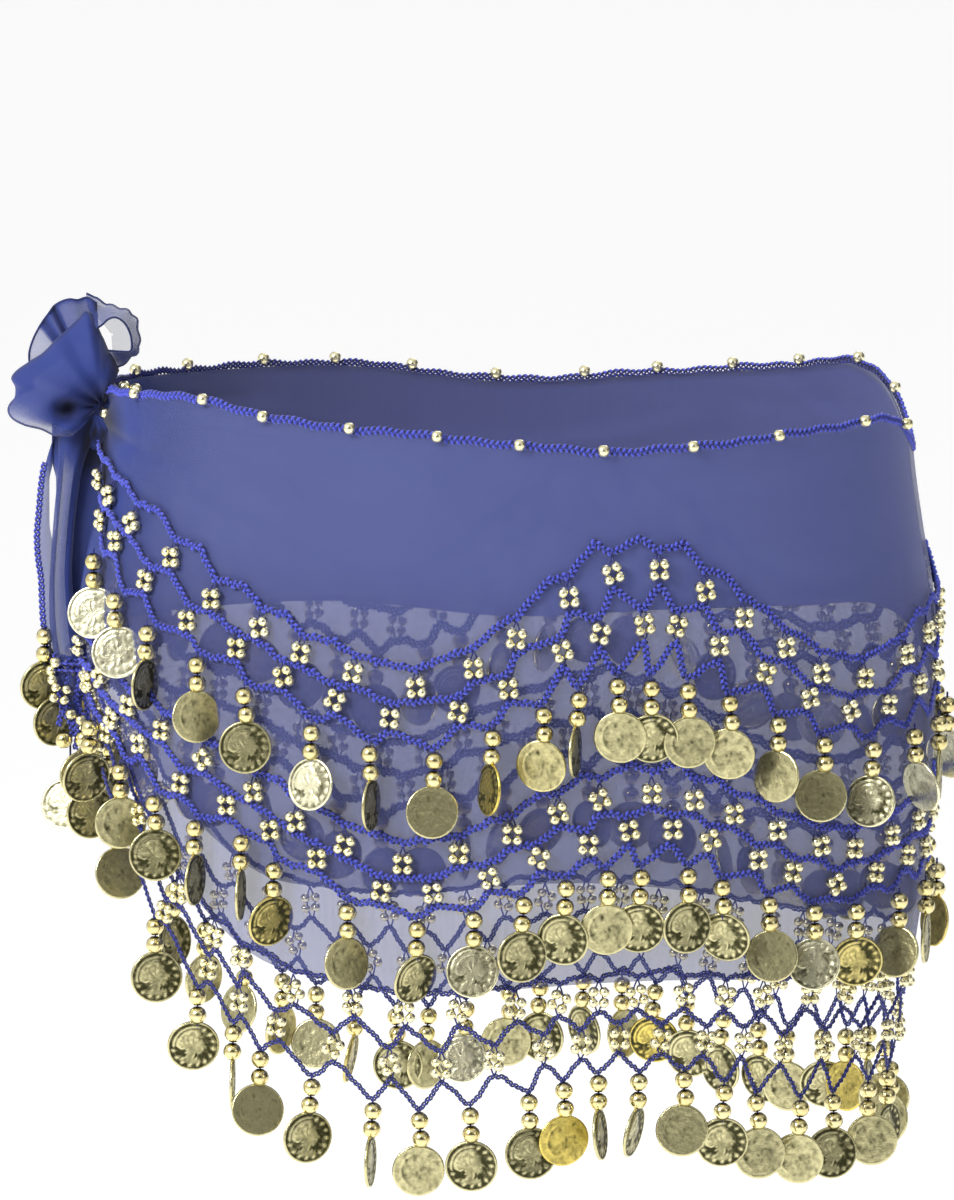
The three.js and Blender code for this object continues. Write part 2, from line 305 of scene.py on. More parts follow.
@dataclass
class Parts:
    """Patches of faces that become one mesh, with a map, a tone and a relief for each point."""

    points: list[Array] = field(default_factory=list)
    faces: list[Array] = field(default_factory=list)
    maps: list[Array] = field(default_factory=list)
    tones: list[Array] = field(default_factory=list)
    reliefs: list[Array] = field(default_factory=list)
    count: int = 0

    def add(self, points: Array, faces: Array, uv: Array | None = None, tone: Array | float = 0.5,
            relief: Array | float = 0.0) -> None:
        """Adds a patch.

        Args:
            points: (n, 3) points in millimetres.
            faces: (m, 3) or (m, 4) corner numbers into points.
            uv: (n, 2) map in millimetres, or None for zeros.
            tone: A number from 0 to 1 for each point, or one for all, which varies the finish.
            relief: Height of the surface's relief at each point, from 0 to 1.
        """
        points = np.asarray(points, float).reshape(-1, 3)
        total = len(points)
        self.points.append(points)
        self.faces.append(np.asarray(faces) + self.count)
        self.maps.append(np.zeros((total, 2)) if uv is None else np.asarray(uv, float).reshape(-1, 2))
        self.tones.append(np.broadcast_to(np.asarray(tone, float).ravel(), (total,)).copy())
        self.reliefs.append(np.broadcast_to(np.asarray(relief, float).ravel(), (total,)).copy())
        self.count += total

    def shell(self, points: Array, thickness: float, uv: Array, tone: Array | float = 0.5,
              relief: Array | float = 0.0) -> None:
        """Adds a closed thin shell round a (rows, columns, 3) grid: two faces and a rim.

        Each face is the grid moved half the thickness along the grid's normal, which is the cross
        product of its two directions.

        Args:
            points: The grid of points, in millimetres.
            thickness: Full thickness, in millimetres.
            uv: (rows, columns, 2) map.
            tone: Tone of each point, or one for all.
            relief: Relief of each point, or one for all.
        """
        rows, columns = points.shape[:2]
        normal = unit(np.cross(np.gradient(points, axis=0), np.gradient(points, axis=1)))
        outer, inner = points + normal * thickness / 2, points - normal * thickness / 2
        quads, layer = grid_quads(rows, columns), rows * columns
        number = np.arange(layer).reshape(rows, columns)
        rims = []
        for edge in (number[0, ::-1], number[-1], number[:, 0], number[::-1, -1]):
            rims.append(np.stack([edge[:-1], edge[:-1] + layer, edge[1:] + layer, edge[1:]], -1))
        faces = np.concatenate([quads[:, ::-1], quads + layer, *[rim[:, ::-1] for rim in rims]])
        tones = np.tile(np.broadcast_to(tone, (rows, columns)).ravel(), 2)
        reliefs = np.tile(np.broadcast_to(relief, (rows, columns)).ravel(), 2)
        faces = faces if signed_volume(np.concatenate([outer, inner]), faces) > 0 else faces[:, ::-1]
        self.add(np.concatenate([outer.reshape(-1, 3), inner.reshape(-1, 3)]), faces,
                 np.concatenate([uv.reshape(-1, 2)] * 2), tones, reliefs)

    def build(self, name: str, material: bpy.types.Material) -> bpy.types.Object:
        """Makes one smooth mesh object of all the patches.

        Args:
            name: The piece's name.
            material: Its finish.

        Returns:
            The new object, linked into the scene.
        """
        points = np.concatenate(self.points) * METRES
        corners = np.concatenate([face.ravel() for face in self.faces]).astype(np.int32)
        sizes = np.concatenate([np.full(len(face), face.shape[1]) for face in self.faces]).astype(np.int32)
        starts = np.concatenate([[0], np.cumsum(sizes)[:-1]]).astype(np.int32)
        mesh = bpy.data.meshes.new(name)
        mesh.vertices.add(len(points))
        mesh.vertices.foreach_set("co", points.ravel().astype(np.float32))
        mesh.loops.add(len(corners))
        mesh.loops.foreach_set("vertex_index", corners)
        mesh.polygons.add(len(sizes))
        mesh.polygons.foreach_set("loop_start", starts)
        mesh.polygons.foreach_set("loop_total", sizes)
        mesh.polygons.foreach_set("use_smooth", np.ones(len(sizes), dtype=bool))
        layer = mesh.uv_layers.new(name="UVMap")
        layer.data.foreach_set("uv", np.concatenate(self.maps)[corners].ravel().astype(np.float32))
        for title, values in (("tone", self.tones), ("relief", self.reliefs)):
            attribute = mesh.attributes.new(title, "FLOAT", "POINT")
            attribute.data.foreach_set("value", np.concatenate(values).astype(np.float32))
        mesh.materials.append(material)
        mesh.update(calc_edges=True)
        mesh.validate()
        piece = bpy.data.objects.new(name, mesh)
        bpy.context.scene.collection.objects.link(piece)
        return piece


def signed_volume(points: Array, faces: Array) -> float:
    """Volume inside quads, positive when they face out: a sum of the cross products of their halves."""
    flat = points.reshape(-1, 3)
    a, b, c, d = (flat[faces[:, k]] for k in range(4))
    return float(np.einsum("ij,ij->", a, np.cross(b, c)) + np.einsum("ij,ij->", a, np.cross(c, d)))


def finish_piece(piece: bpy.types.Object, slot: str, *nodes: str) -> bpy.types.Object:
    """Sets a piece on the scarf's one body, hides the solids it stands for and logs its triangles."""
    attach(piece, "root")
    if nodes:
        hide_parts(*nodes)
    triangles = sum(len(p.vertices) - 2 for p in piece.data.polygons)
    LOG.info("%s: %d triangles", piece.name, triangles)
    return piece


def resample(path: Array, step: float) -> Array:
    """Points at equal distances along a path.

    Args:
        path: (n, 3) points.
        step: Distance wanted between points.

    Returns:
        (m, 3) points from the path's first to its last.
    """
    lengths = np.concatenate([[0], np.cumsum(np.linalg.norm(np.diff(path, axis=0), axis=1))])
    count = max(int(round(lengths[-1] / step)), 3) + 1
    places = np.linspace(0, lengths[-1], count)
    return np.stack([np.interp(places, lengths, path[:, k]) for k in range(3)], axis=-1)


def tube(parts: Parts, centres: Array, side: Array, up: Array, radius: Array | float, sides: int,
         tone: Array | float) -> None:
    """Adds a closed tube: circles round each centre in the plane of side and up, with flat ends.

    Args:
        parts: The patches to add to.
        centres: (n, 3) points along the tube.
        side: (n, 3) unit vectors across it.
        up: (n, 3) unit vectors across it, square to side.
        radius: The tube's radius, one number or one for each centre.
        sides: Number of faces round it.
        tone: The strand's tone, one number or one for each centre.
    """
    turn = np.arange(sides) * 2 * np.pi / sides
    reach = np.broadcast_to(radius, (len(centres),))[:, None, None]
    ring = side[:, None] * np.cos(turn)[None, :, None] + up[:, None] * np.sin(turn)[None, :, None]
    points = centres[:, None] + reach * ring
    faces = grid_quads(len(centres), sides, wrap=True)
    last = (len(centres) - 1) * sides + np.arange(sides)
    length = np.concatenate([[0], np.cumsum(np.linalg.norm(np.diff(centres, axis=0), axis=1))])
    uv = np.stack(np.broadcast_arrays(length[:, None], turn[None]), axis=-1)
    first_cap, last_cap = np.arange(sides)[None], last[::-1][None]
    if np.dot(np.cross(side[0], up[0]), centres[1] - centres[0]) > 0:
        first_cap, last_cap = first_cap[:, ::-1], last_cap[:, ::-1]
    else:
        faces = faces[:, ::-1]
    base = parts.count
    tones = np.repeat(np.broadcast_to(tone, (len(centres),)), sides)
    parts.add(points, faces, uv, tones)
    parts.faces.append(first_cap + base)
    parts.faces.append(last_cap + base)


@dataclass(frozen=True)
class ChainStitch:
    """A crochet chain: three strands that plait round each other."""

    width: float = 3.4
    period: float = 7.2
    strand: float = 0.60
    step: float = 0.95
    lift: float = 0.5
    swell: float = 0.25
    strands: int = 3
    sides: int = 4

    def lay(self, parts: Parts, path: Array, out: Array, scale: float = 1.0, shade: float = 1.0) -> None:
        """Lays the chain along a path.

        Strand k swings across the cord by the sine of its phase and in and out by the sine of twice
        its phase, which is the path of a plait.

        Args:
            parts: The patches to add to.
            path: (n, 3) points in millimetres.
            out: One (3,) direction that the cord's back turns away from, or one for each point.
            scale: Width of this cord against the standard one.
            shade: Factor on the cord's painted strand light; below 1 the whole cord is darker.
        """
        centres = resample(path, self.step)
        out = np.broadcast_to(out, path.shape)
        where = np.linspace(0, 1, len(centres))
        source = np.linspace(0, 1, len(out))
        up = unit(np.stack([np.interp(where, source, out[:, k]) for k in range(3)], axis=-1))
        along_path = unit(np.gradient(centres, axis=0))
        side = unit(np.cross(along_path, up))
        up = np.cross(side, along_path)
        length = np.arange(len(centres)) * self.step
        swing = (self.width / 2 - self.strand) * scale
        for k in range(self.strands):
            phase = 2 * np.pi * (length / self.period + k / self.strands)
            across = (swing * np.sin(phase))[:, None] * side
            lift = (self.lift * scale * np.sin(2 * phase))[:, None] * up
            # Painted light and shade: a strand is lighter where it lifts out and darker where it sinks in.
            tone = shade * (0.5 + 0.5 * np.sin(2 * phase))
            radius = self.strand * scale * (1 + self.swell * np.sin(2 * phase))
            tube(parts, centres + across + lift, side, up, radius, self.sides, tone)


CHAIN = ChainStitch()


def thread(parts: Parts, path: Array, radius: float, up: Array, tone: float = 0.4) -> None:
    """Adds a single thin yarn along a short path."""
    direction = unit(np.gradient(path, axis=0))
    side = unit(np.cross(direction, up))
    tube(parts, path, side, np.cross(side, direction), radius, 4, tone)


def ball(segments: int, rings: int, bare: float = 0.76) -> tuple[Array, Array, Array, Array]:
    """A unit ball of latitude rings, with its holes along Z drawn in a little.

    The radius at polar angle p is sin p and the height is cos p, less a dimple near each pole. Its
    relief falls from 1 at the middle to 0 at the holes, which are darkened by tarnished plating and
    by painted shade where beads touch.

    Args:
        segments: Faces round it.
        rings: Faces from pole to pole.
        bare: Height at which the relief begins to fall.

    Returns:
        Its points, its triangles, its quads and its relief.
    """
    polar = np.linspace(0, np.pi, rings + 1)[1:-1]
    turn = np.arange(segments) * 2 * np.pi / segments
    points = np.stack(
        [np.outer(np.sin(polar), np.cos(turn)), np.outer(np.sin(polar), np.sin(turn)),
         np.outer(np.cos(polar), np.ones(segments))], axis=-1
    ).reshape(-1, 3)
    poles = np.array([[0, 0, 0.9], [0, 0, -0.9]])
    quads = grid_quads(rings - 1, segments, wrap=True)[:, ::-1]
    number, following = np.arange(segments), np.roll(np.arange(segments), -1)
    top, bottom = len(points), len(points) + 1
    last = (rings - 2) * segments
    caps = np.concatenate([
        np.stack([np.full(segments, top), number, following], -1),
        np.stack([np.full(segments, bottom), last + following, last + number], -1),
    ])
    relief = 1 - smoothstep(np.abs(np.concatenate([points[:, 2], [1, -1]])), bare, 1.0)
    return np.concatenate([points, poles]), caps, quads, relief


def scatter(parts: Parts, points: Array, faces: list[Array], places: Array, turns: Array, tones: Array,
            uv: Array | None = None, relief: Array | float = 0.0) -> None:
    """Adds one copy of a shape at every place.

    Args:
        parts: The patches to add to.
        points: (n, 3) points of the shape.
        faces: Its arrays of faces.
        places: (m, 3) places.
        turns: (m, 3, 3) matrices that turn and scale the shape.
        tones: (m,) tones.
        uv: (n, 2) map of the shape.
        relief: (n,) relief of the shape.
    """
    total, copies = len(points), len(places)
    moved = np.einsum("mij,nj->mni", turns, points) + places[:, None]
    shift = np.arange(copies)[:, None, None] * total
    maps = np.zeros((total, 2)) if uv is None else uv
    base = parts.count
    parts.add(moved, (faces[0][None] + shift).reshape(-1, faces[0].shape[1]), np.tile(maps, (copies, 1)),
              np.repeat(tones, total), np.tile(np.broadcast_to(relief, (total,)), copies))
    for extra in faces[1:]:
        parts.faces.append((extra[None] + shift).reshape(-1, extra.shape[1]) + base)


# ---------------------------------------------------------------- finishes


class Nodes:
    """A small helper round one node tree."""

    def __init__(self, tree: bpy.types.NodeTree) -> None:
        """Keeps the tree."""
        self.tree = tree

    def add(self, kind: str, **values: object) -> bpy.types.Node:
        """Adds a node and sets its properties and inputs.

        Args:
            kind: The node's type name.
            **values: Properties by name, or inputs by socket name with underscores for spaces.

        Returns:
            The node.
        """
        node = self.tree.nodes.new(kind)
        for key, value in values.items():
            if hasattr(node, key):
                setattr(node, key, value)
            else:
                self.feed(node.inputs[key.replace("_", " ")], value)
        return node

    def feed(self, socket: bpy.types.NodeSocket, value: object) -> None:
        """Links a socket into an input, or sets the input's own value."""
        if isinstance(value, bpy.types.NodeSocket):
            self.tree.links.new(value, socket)
        else:
            socket.default_value = value

    def math(self, operation: str, a: object, b: object = 0.0, clamp: bool = False) -> bpy.types.NodeSocket:
        """One math operation on two values."""
        node = self.add("ShaderNodeMath", operation=operation, use_clamp=clamp)
        self.feed(node.inputs[0], a)
        self.feed(node.inputs[1], b)
        return node.outputs[0]

    def mix(self, share: object, a: object, b: object) -> bpy.types.NodeSocket:
        """A mix of two colours by a share."""
        node = self.add("ShaderNodeMix", data_type="RGBA")
        self.feed(node.inputs[0], share)
        self.feed(node.inputs[6], a)
        self.feed(node.inputs[7], b)
        return node.outputs[2]

    def span(self, value: object, low: float, high: float, to_low: float = 0.0,
             to_high: float = 1.0) -> bpy.types.NodeSocket:
        """A value moved from one range to another, held within it."""
        node = self.add("ShaderNodeMapRange", clamp=True)
        for socket, number in zip(node.inputs[:5], (value, low, high, to_low, to_high)):
            self.feed(socket, number)
        return node.outputs[0]

    def attribute(self, name: str) -> bpy.types.NodeSocket:
        """A float attribute of the mesh."""
        return self.add("ShaderNodeAttribute", attribute_name=name).outputs["Fac"]


def rgb(red: float, green: float, blue: float) -> tuple[float, float, float, float]:
    """A linear colour with full alpha."""
    return (red, green, blue, 1.0)


class Effect(Enum):
    """Shader effects that several finishes share."""

    GRAIN = "grain"
    FIBRE = "fibre"
    CRINKLE = "crinkle"


def effect_group(effect: Effect) -> bpy.types.NodeTree:
    """Builds a shared effect once, and gives the same group after that.

    GRAIN is noise in object space, at a scale in repeats a metre, spread to the full range. FIBRE is
    fine lines along U of the piece's own map, broken up by noise, as in spun yarn and woven thread.
    CRINKLE is warped noise drawn out along V, as the small wrinkles of thin cloth are.

    Args:
        effect: Which effect.

    Returns:
        Its node group, with inputs Scale and Contrast and the output Mask.
    """
    found = bpy.data.node_groups.get(effect.value)
    if found:
        return found
    group = bpy.data.node_groups.new(effect.value, "ShaderNodeTree")
    for name, value in (("Scale", 100.0), ("Contrast", 1.0)):
        socket = group.interface.new_socket(name, in_out="INPUT", socket_type="NodeSocketFloat")
        socket.default_value = value
    group.interface.new_socket("Mask", in_out="OUTPUT", socket_type="NodeSocketFloat")
    nodes = Nodes(group)
    enter, leave = nodes.add("NodeGroupInput"), nodes.add("NodeGroupOutput")
    coordinates = nodes.add("ShaderNodeTexCoord")
    if effect is Effect.GRAIN:
        noise = nodes.add("ShaderNodeTexNoise", Vector=coordinates.outputs["Object"],
                          Scale=enter.outputs["Scale"], Detail=3.0, Roughness=0.6)
    else:
        stretch = nodes.add("ShaderNodeMapping", Vector=coordinates.outputs["UV"])
        along_u = (0.12, 1.0, 1.0)
        along_v = (1.0, 0.3, 1.0)
        stretch.inputs["Scale"].default_value = along_u if effect is Effect.FIBRE else along_v
        noise = nodes.add("ShaderNodeTexNoise", Vector=stretch.outputs[0],
                          Scale=enter.outputs["Scale"], Detail=2.0, Roughness=0.5)
        noise.inputs["Distortion"].default_value = 0.0 if effect is Effect.FIBRE else 0.4
    centred = nodes.math("SUBTRACT", noise.outputs["Fac"], 0.5)
    spread = nodes.math("MULTIPLY", centred, enter.outputs["Contrast"])
    nodes.feed(leave.inputs["Mask"], nodes.math("ADD", spread, 0.5, clamp=True))
    return group


def effect_mask(nodes: Nodes, effect: Effect, scale: float, contrast: float) -> bpy.types.NodeSocket:
    """Places a shared effect in a material and gives its mask."""
    node = nodes.add("ShaderNodeGroup", node_tree=effect_group(effect))
    node.inputs["Scale"].default_value = scale
    node.inputs["Contrast"].default_value = contrast
    return node.outputs["Mask"]


def new_material(name: str) -> tuple[bpy.types.Material, Nodes, bpy.types.Node]:
    """A material with its tree's helper and its Principled shader."""
    material = bpy.data.materials.new(name)
    material.use_nodes = True
    nodes = Nodes(material.node_tree)
    return material, nodes, material.node_tree.nodes["Principled BSDF"]


@dataclass(frozen=True)
class Chiffon:
    """Sheer woven cloth: how much of it covers, its colour, and its crinkle.

    The mesh's tone says how bunched the cloth is: 0.5 lies flat in one layer, 0 is drawn out thin,
    and towards 1 it is gathered so close that it is nearly solid; above 0.82 its colour goes on to
    near-black, painted shade for hollows, folds and the cloth at the knot. Its relief runs from 0
    along the top edge to 1 towards the hem, where the colour is darker and greyer and the cloth closer.
    """

    name: str = "chiffon"
    cover: float = 0.385
    colour: tuple[float, float, float] = (0.098, 0.120, 0.315)
    deep: tuple[float, float, float] = (0.076, 0.095, 0.280)
    bunched: tuple[float, float, float] = (0.023, 0.041, 0.200)
    # Near-black painted shade, mixed in where the tone rises above 0.82.
    shaded: tuple[float, float, float] = (0.004, 0.006, 0.028)
    # Darker, greyer colour and extra cover towards the hem, by relief.
    hem_colour: tuple[float, float, float] = (0.070, 0.082, 0.225)
    hem_cover: float = 0.018
    cover_change: float = 0.035

    def make(self) -> bpy.types.Material:
        """Builds the finish: a threaded weave that thins and thickens in soft streaks."""
        material, nodes, shader = new_material(self.name)
        streak = effect_mask(nodes, Effect.FIBRE, 0.5, 1.6)
        cloud = effect_mask(nodes, Effect.GRAIN, 22.0, 1.6)
        crinkle = effect_mask(nodes, Effect.CRINKLE, 0.11, 2.0)
        tone = nodes.attribute("tone")
        fade = nodes.attribute("relief")
        flat = nodes.mix(fade, nodes.mix(cloud, rgb(*self.deep), rgb(*self.colour)), rgb(*self.hem_colour))
        gathered = nodes.mix(nodes.span(tone, 0.5, 0.8), flat, rgb(*self.bunched))
        # Painted shade: a tone above 0.82 darkens the cloth towards near-black.
        shaded = nodes.mix(nodes.span(tone, 0.82, 1.0), gathered, rgb(*self.shaded))
        nodes.feed(shader.inputs["Base Color"], shaded)
        threads = nodes.math("ADD", streak, self.weave(nodes))
        body = nodes.span(threads, 0.2, 1.8, self.cover - self.cover_change, self.cover + self.cover_change)
        body = nodes.math("ADD", body, nodes.math("MULTIPLY", fade, self.hem_cover))
        thin = nodes.span(tone, 0.0, 0.5, 0.45, 1.0)
        thick = nodes.span(tone, 0.5, 0.85, 0.0, 0.97)
        covered = nodes.math("MAXIMUM", nodes.math("MULTIPLY", body, thin), thick)
        nodes.feed(shader.inputs["Alpha"], covered)
        nodes.feed(shader.inputs["Roughness"], nodes.span(cloud, 0, 1, 0.62, 0.78))
        bump = nodes.add("ShaderNodeBump", Height=nodes.math("MULTIPLY", crinkle, 4.0))
        bump.inputs["Strength"].default_value = 0.2
        bump.inputs["Distance"].default_value = 0.0004
        nodes.feed(shader.inputs["Normal"], bump.outputs[0])
        shader.inputs["Sheen Weight"].default_value = 0.2
        shader.inputs["Sheen Roughness"].default_value = 0.45
        shader.inputs["Specular IOR Level"].default_value = 0.25
        return material

    def weave(self, nodes: Nodes) -> bpy.types.NodeSocket:
        """Plain weave as the product of two fine sines along the cloth's own map."""
        place = nodes.add("ShaderNodeSeparateXYZ", Vector=nodes.add("ShaderNodeTexCoord").outputs["UV"])
        warp = nodes.math("SINE", nodes.math("MULTIPLY", place.outputs["X"], 9.0))
        weft = nodes.math("SINE", nodes.math("MULTIPLY", place.outputs["Y"], 9.0))
        return nodes.span(nodes.math("MULTIPLY", warp, weft), -1.0, 1.0)


@dataclass(frozen=True)
class Yarn:
    """Shiny spun crochet yarn, with painted light on top of each stitch and painted shade in the gaps."""

    name: str = "crochet_yarn"
    # Painted shade for the gaps between strands, and painted light for their tops.
    dark: tuple[float, float, float] = (0.002, 0.003, 0.045)
    light: tuple[float, float, float] = (0.075, 0.10, 0.70)

    def make(self) -> bpy.types.Material:
        """Builds the finish: strands whose tone carries painted light and shade, with fine fibres along
        them.
        """
        material, nodes, shader = new_material(self.name)
        fibre = effect_mask(nodes, Effect.FIBRE, 6.0, 2.4)
        tone = nodes.span(nodes.attribute("tone"), 0.3, 0.95)
        fuzz = nodes.math("MULTIPLY", nodes.math("SUBTRACT", fibre, 0.4), 0.5)
        share = nodes.math("ADD", fuzz, tone, clamp=True)
        nodes.feed(shader.inputs["Base Color"], nodes.mix(share, rgb(*self.dark), rgb(*self.light)))
        nodes.feed(shader.inputs["Roughness"], nodes.span(fibre, 0, 1, 0.5, 0.34))
        bump = nodes.add("ShaderNodeBump", Height=fibre)
        bump.inputs["Strength"].default_value = 0.6
        bump.inputs["Distance"].default_value = 0.0003
        nodes.feed(shader.inputs["Normal"], bump.outputs[0])
        shader.inputs["Sheen Weight"].default_value = 0.2
        shader.inputs["Sheen Roughness"].default_value = 0.3
        return material


@dataclass(frozen=True)
class GoldBead:
    """Polished pale gold plate with small knocks, tarnished and painted with shade round its holes."""

    name: str
    colour: tuple[float, float, float]
    worn: tuple[float, float, float]
    roughness: float = 0.2
    # Tarnished plating at the holes, which also serves as painted shade where beads touch.
    tarnish_and_shade: tuple[float, float, float] = (0.075, 0.06, 0.018)

    def make(self) -> bpy.types.Material:
        """Builds the finish: two golds, tarnished holes with painted shade by relief, faint hammering."""
        material, nodes, shader = new_material(self.name)
        grain = effect_mask(nodes, Effect.GRAIN, 420.0, 2.2)
        patches = nodes.math("MULTIPLY", grain, 0.5)
        share = nodes.math("ADD", patches, nodes.math("MULTIPLY", nodes.attribute("tone"), 0.5))
        plate = nodes.mix(share, rgb(*self.colour), rgb(*self.worn))
        # Relief darkens the holes: tarnished plating, and painted shade where beads touch.
        clean = nodes.span(nodes.attribute("relief"), 0.05, 0.75)
        nodes.feed(shader.inputs["Base Color"], nodes.mix(clean, rgb(*self.tarnish_and_shade), plate))
        nodes.feed(shader.inputs["Metallic"], 1.0)
        dull = self.roughness + 0.12
        nodes.feed(shader.inputs["Roughness"], nodes.span(grain, 0, 1, self.roughness, dull))
        bump = nodes.add("ShaderNodeBump", Height=grain)
        bump.inputs["Strength"].default_value = 0.15
        bump.inputs["Distance"].default_value = 0.0002
        nodes.feed(shader.inputs["Normal"], bump.outputs[0])
        return material


@dataclass(frozen=True)
class StampedCoin:
    """Antique pale gold, bright where the relief is high and dark in its hollows.

    The mesh's tone picks the coin's metal: pale and worn below 0.15, where the paler metal is also a
    painted highlight of the key light, antique in the middle, and yellow brass above 0.8.
    """

    name: str = "stamped_coin"
    bright: tuple[float, float, float] = (0.62, 0.57, 0.31)
    # Near-white metal: pale worn coins, brightened as a painted highlight of the key light.
    pale: tuple[float, float, float] = (1.0, 0.96, 0.68)
    yellow: tuple[float, float, float] = (0.70, 0.56, 0.14)
    patina: tuple[float, float, float] = (0.040, 0.038, 0.012)

    def make(self) -> bpy.types.Material:
        """Builds the finish: patina by relief and by patches, metal by coin, and fine pitting."""
        material, nodes, shader = new_material(self.name)
        pits = effect_mask(nodes, Effect.GRAIN, 800.0, 2.6)
        cloud = effect_mask(nodes, Effect.GRAIN, 330.0, 3.0)
        tone = nodes.attribute("tone")
        metal = nodes.mix(nodes.span(tone, 0.78, 0.9), rgb(*self.bright), rgb(*self.yellow))
        metal = nodes.mix(nodes.span(tone, 0.08, 0.18), rgb(*self.pale), metal)
        grime = nodes.math("MULTIPLY", nodes.math("SUBTRACT", cloud, 0.55), 0.28)
        fleck = nodes.math("MULTIPLY", nodes.math("SUBTRACT", pits, 0.5), 0.16)
        # The pale coins are worn further, partly as a painted highlight of the key light.
        wear_and_glint = nodes.span(tone, 0.0, 0.2, 0.3, 0.0)
        worn = nodes.math("ADD", nodes.attribute("relief"), wear_and_glint)
        height = nodes.math("ADD", worn, nodes.math("SUBTRACT", fleck, grime))
        clean = nodes.span(height, 0.06, 0.78)
        nodes.feed(shader.inputs["Base Color"], nodes.mix(clean, rgb(*self.patina), metal))
        nodes.feed(shader.inputs["Metallic"], nodes.span(clean, 0, 1, 0.8, 1.0))
        nodes.feed(shader.inputs["Roughness"], nodes.span(clean, 0, 1, 0.5, 0.27))
        rough = nodes.math("ADD", nodes.math("MULTIPLY", pits, 0.4), cloud)
        bump = nodes.add("ShaderNodeBump", Height=rough)
        bump.inputs["Strength"].default_value = 0.3
        bump.inputs["Distance"].default_value = 0.0003
        nodes.feed(shader.inputs["Normal"], bump.outputs[0])
        return material


# ---------------------------------------------------------------- studio


@dataclass
class Studio:
    """Camera, soft lights, pale floor and pale surround."""

    distance: float = 4.5
    elevation: float = 8.6
    aim: tuple[float, float, float] = (-0.0124, 0.0, -0.0764)
    frame_height: float = 0.480
    front_plane: float = 0.05
    floor_drop: float = 0.95
    light_way: tuple[float, float, float] = (-0.55, -0.18, 0.81)
    dark_way: tuple[float, float, float] = (0.0, -0.99, 0.15)

    def camera(self) -> None:
        """Makes the camera: a long lens a little above the level of the hips."""
        data = bpy.data.cameras.new("camera")
        data.sensor_width = 36.0
        data.lens = data.sensor_width * (self.distance - self.front_plane) / self.frame_height
        data.clip_end = 100.0
        camera = bpy.data.objects.new("camera", data)
        tilt = math.radians(self.elevation)
        away = Vector((0.0, -math.cos(tilt), math.sin(tilt)))
        camera.location = Vector(self.aim) + away * self.distance
        camera.rotation_euler = (-away).to_track_quat("-Z", "Y").to_euler()
        bpy.context.scene.collection.objects.link(camera)
        bpy.context.scene.camera = camera

    def lights(self) -> None:
        """Hangs the soft boxes: key high on the left, fill on the right, and one behind."""
        for name, place, size, power in (
            ("key", (-1.9, -1.9, 1.6), 1.0, 94.0),
            ("fill", (2.4, -1.8, 0.7), 1.2, 6.0),
            ("back", (0.4, 2.6, 1.6), 1.6, 34.0),
        ):
            data = bpy.data.lights.new(name, "AREA")
            data.size = size
            data.energy = power
            light = bpy.data.objects.new(name, data)
            light.location = place
            light.rotation_euler = (Vector(place) - Vector(self.aim)).to_track_quat("Z", "Y").to_euler()
            bpy.context.scene.collection.objects.link(light)

    def surround(self) -> None:
        """Makes the surround: white to look at, and lit from above and the left with a dark camera side.

        Its light is the dot product of the direction with the light's way, spread over a narrow range,
        less a dark patch where the camera stands, so that polished metal has something dark to show.
        """
        world = bpy.data.worlds.new("surround")
        world.use_nodes = True
        nodes = Nodes(world.node_tree)
        background = world.node_tree.nodes["Background"]
        way = nodes.add("ShaderNodeTexCoord").outputs["Generated"]
        towards = []
        for direction in (self.light_way, self.dark_way):
            dot = nodes.add("ShaderNodeVectorMath", operation="DOT_PRODUCT")
            nodes.feed(dot.inputs[0], way)
            dot.inputs[1].default_value = direction
            towards.append(dot.outputs["Value"])
        shade = nodes.span(towards[0], -0.4, 0.8, 0.05, 0.95)
        shade = nodes.math("MULTIPLY", shade, nodes.span(towards[1], 0.80, 0.96, 1.0, 0.12))
        seen = nodes.add("ShaderNodeLightPath").outputs["Is Camera Ray"]
        level = nodes.mix(seen, shade, rgb(1.0, 1.0, 1.0))
        nodes.feed(background.inputs["Color"], level)
        bpy.context.scene.world = world

    def floor(self) -> None:
        """Lays the plain pale floor below the scarf."""
        half = 30.0
        mesh = bpy.data.meshes.new("floor")
        ways = ((-1, -1), (1, -1), (1, 1), (-1, 1))
        corners = [(x * half, y * half, -self.floor_drop) for x, y in ways]
        mesh.from_pydata(corners, [], [(0, 1, 2, 3)])
        material, _, shader = new_material("pale_floor")
        shader.inputs["Base Color"].default_value = rgb(0.92, 0.92, 0.92)
        shader.inputs["Roughness"].default_value = 0.9
        shader.inputs["Emission Color"].default_value = rgb(1.0, 1.0, 1.0)
        shader.inputs["Emission Strength"].default_value = 0.3
        mesh.materials.append(material)
        floor = bpy.data.objects.new("floor", mesh)
        bpy.context.scene.collection.objects.link(floor)

    def build(self) -> None:
        """Sets up everything round the scarf."""
        bpy.context.scene.view_settings.view_transform = "Standard"
        self.camera()
        self.lights()
        self.surround()
        self.floor()


# ---------------------------------------------------------------- the wrapped strip


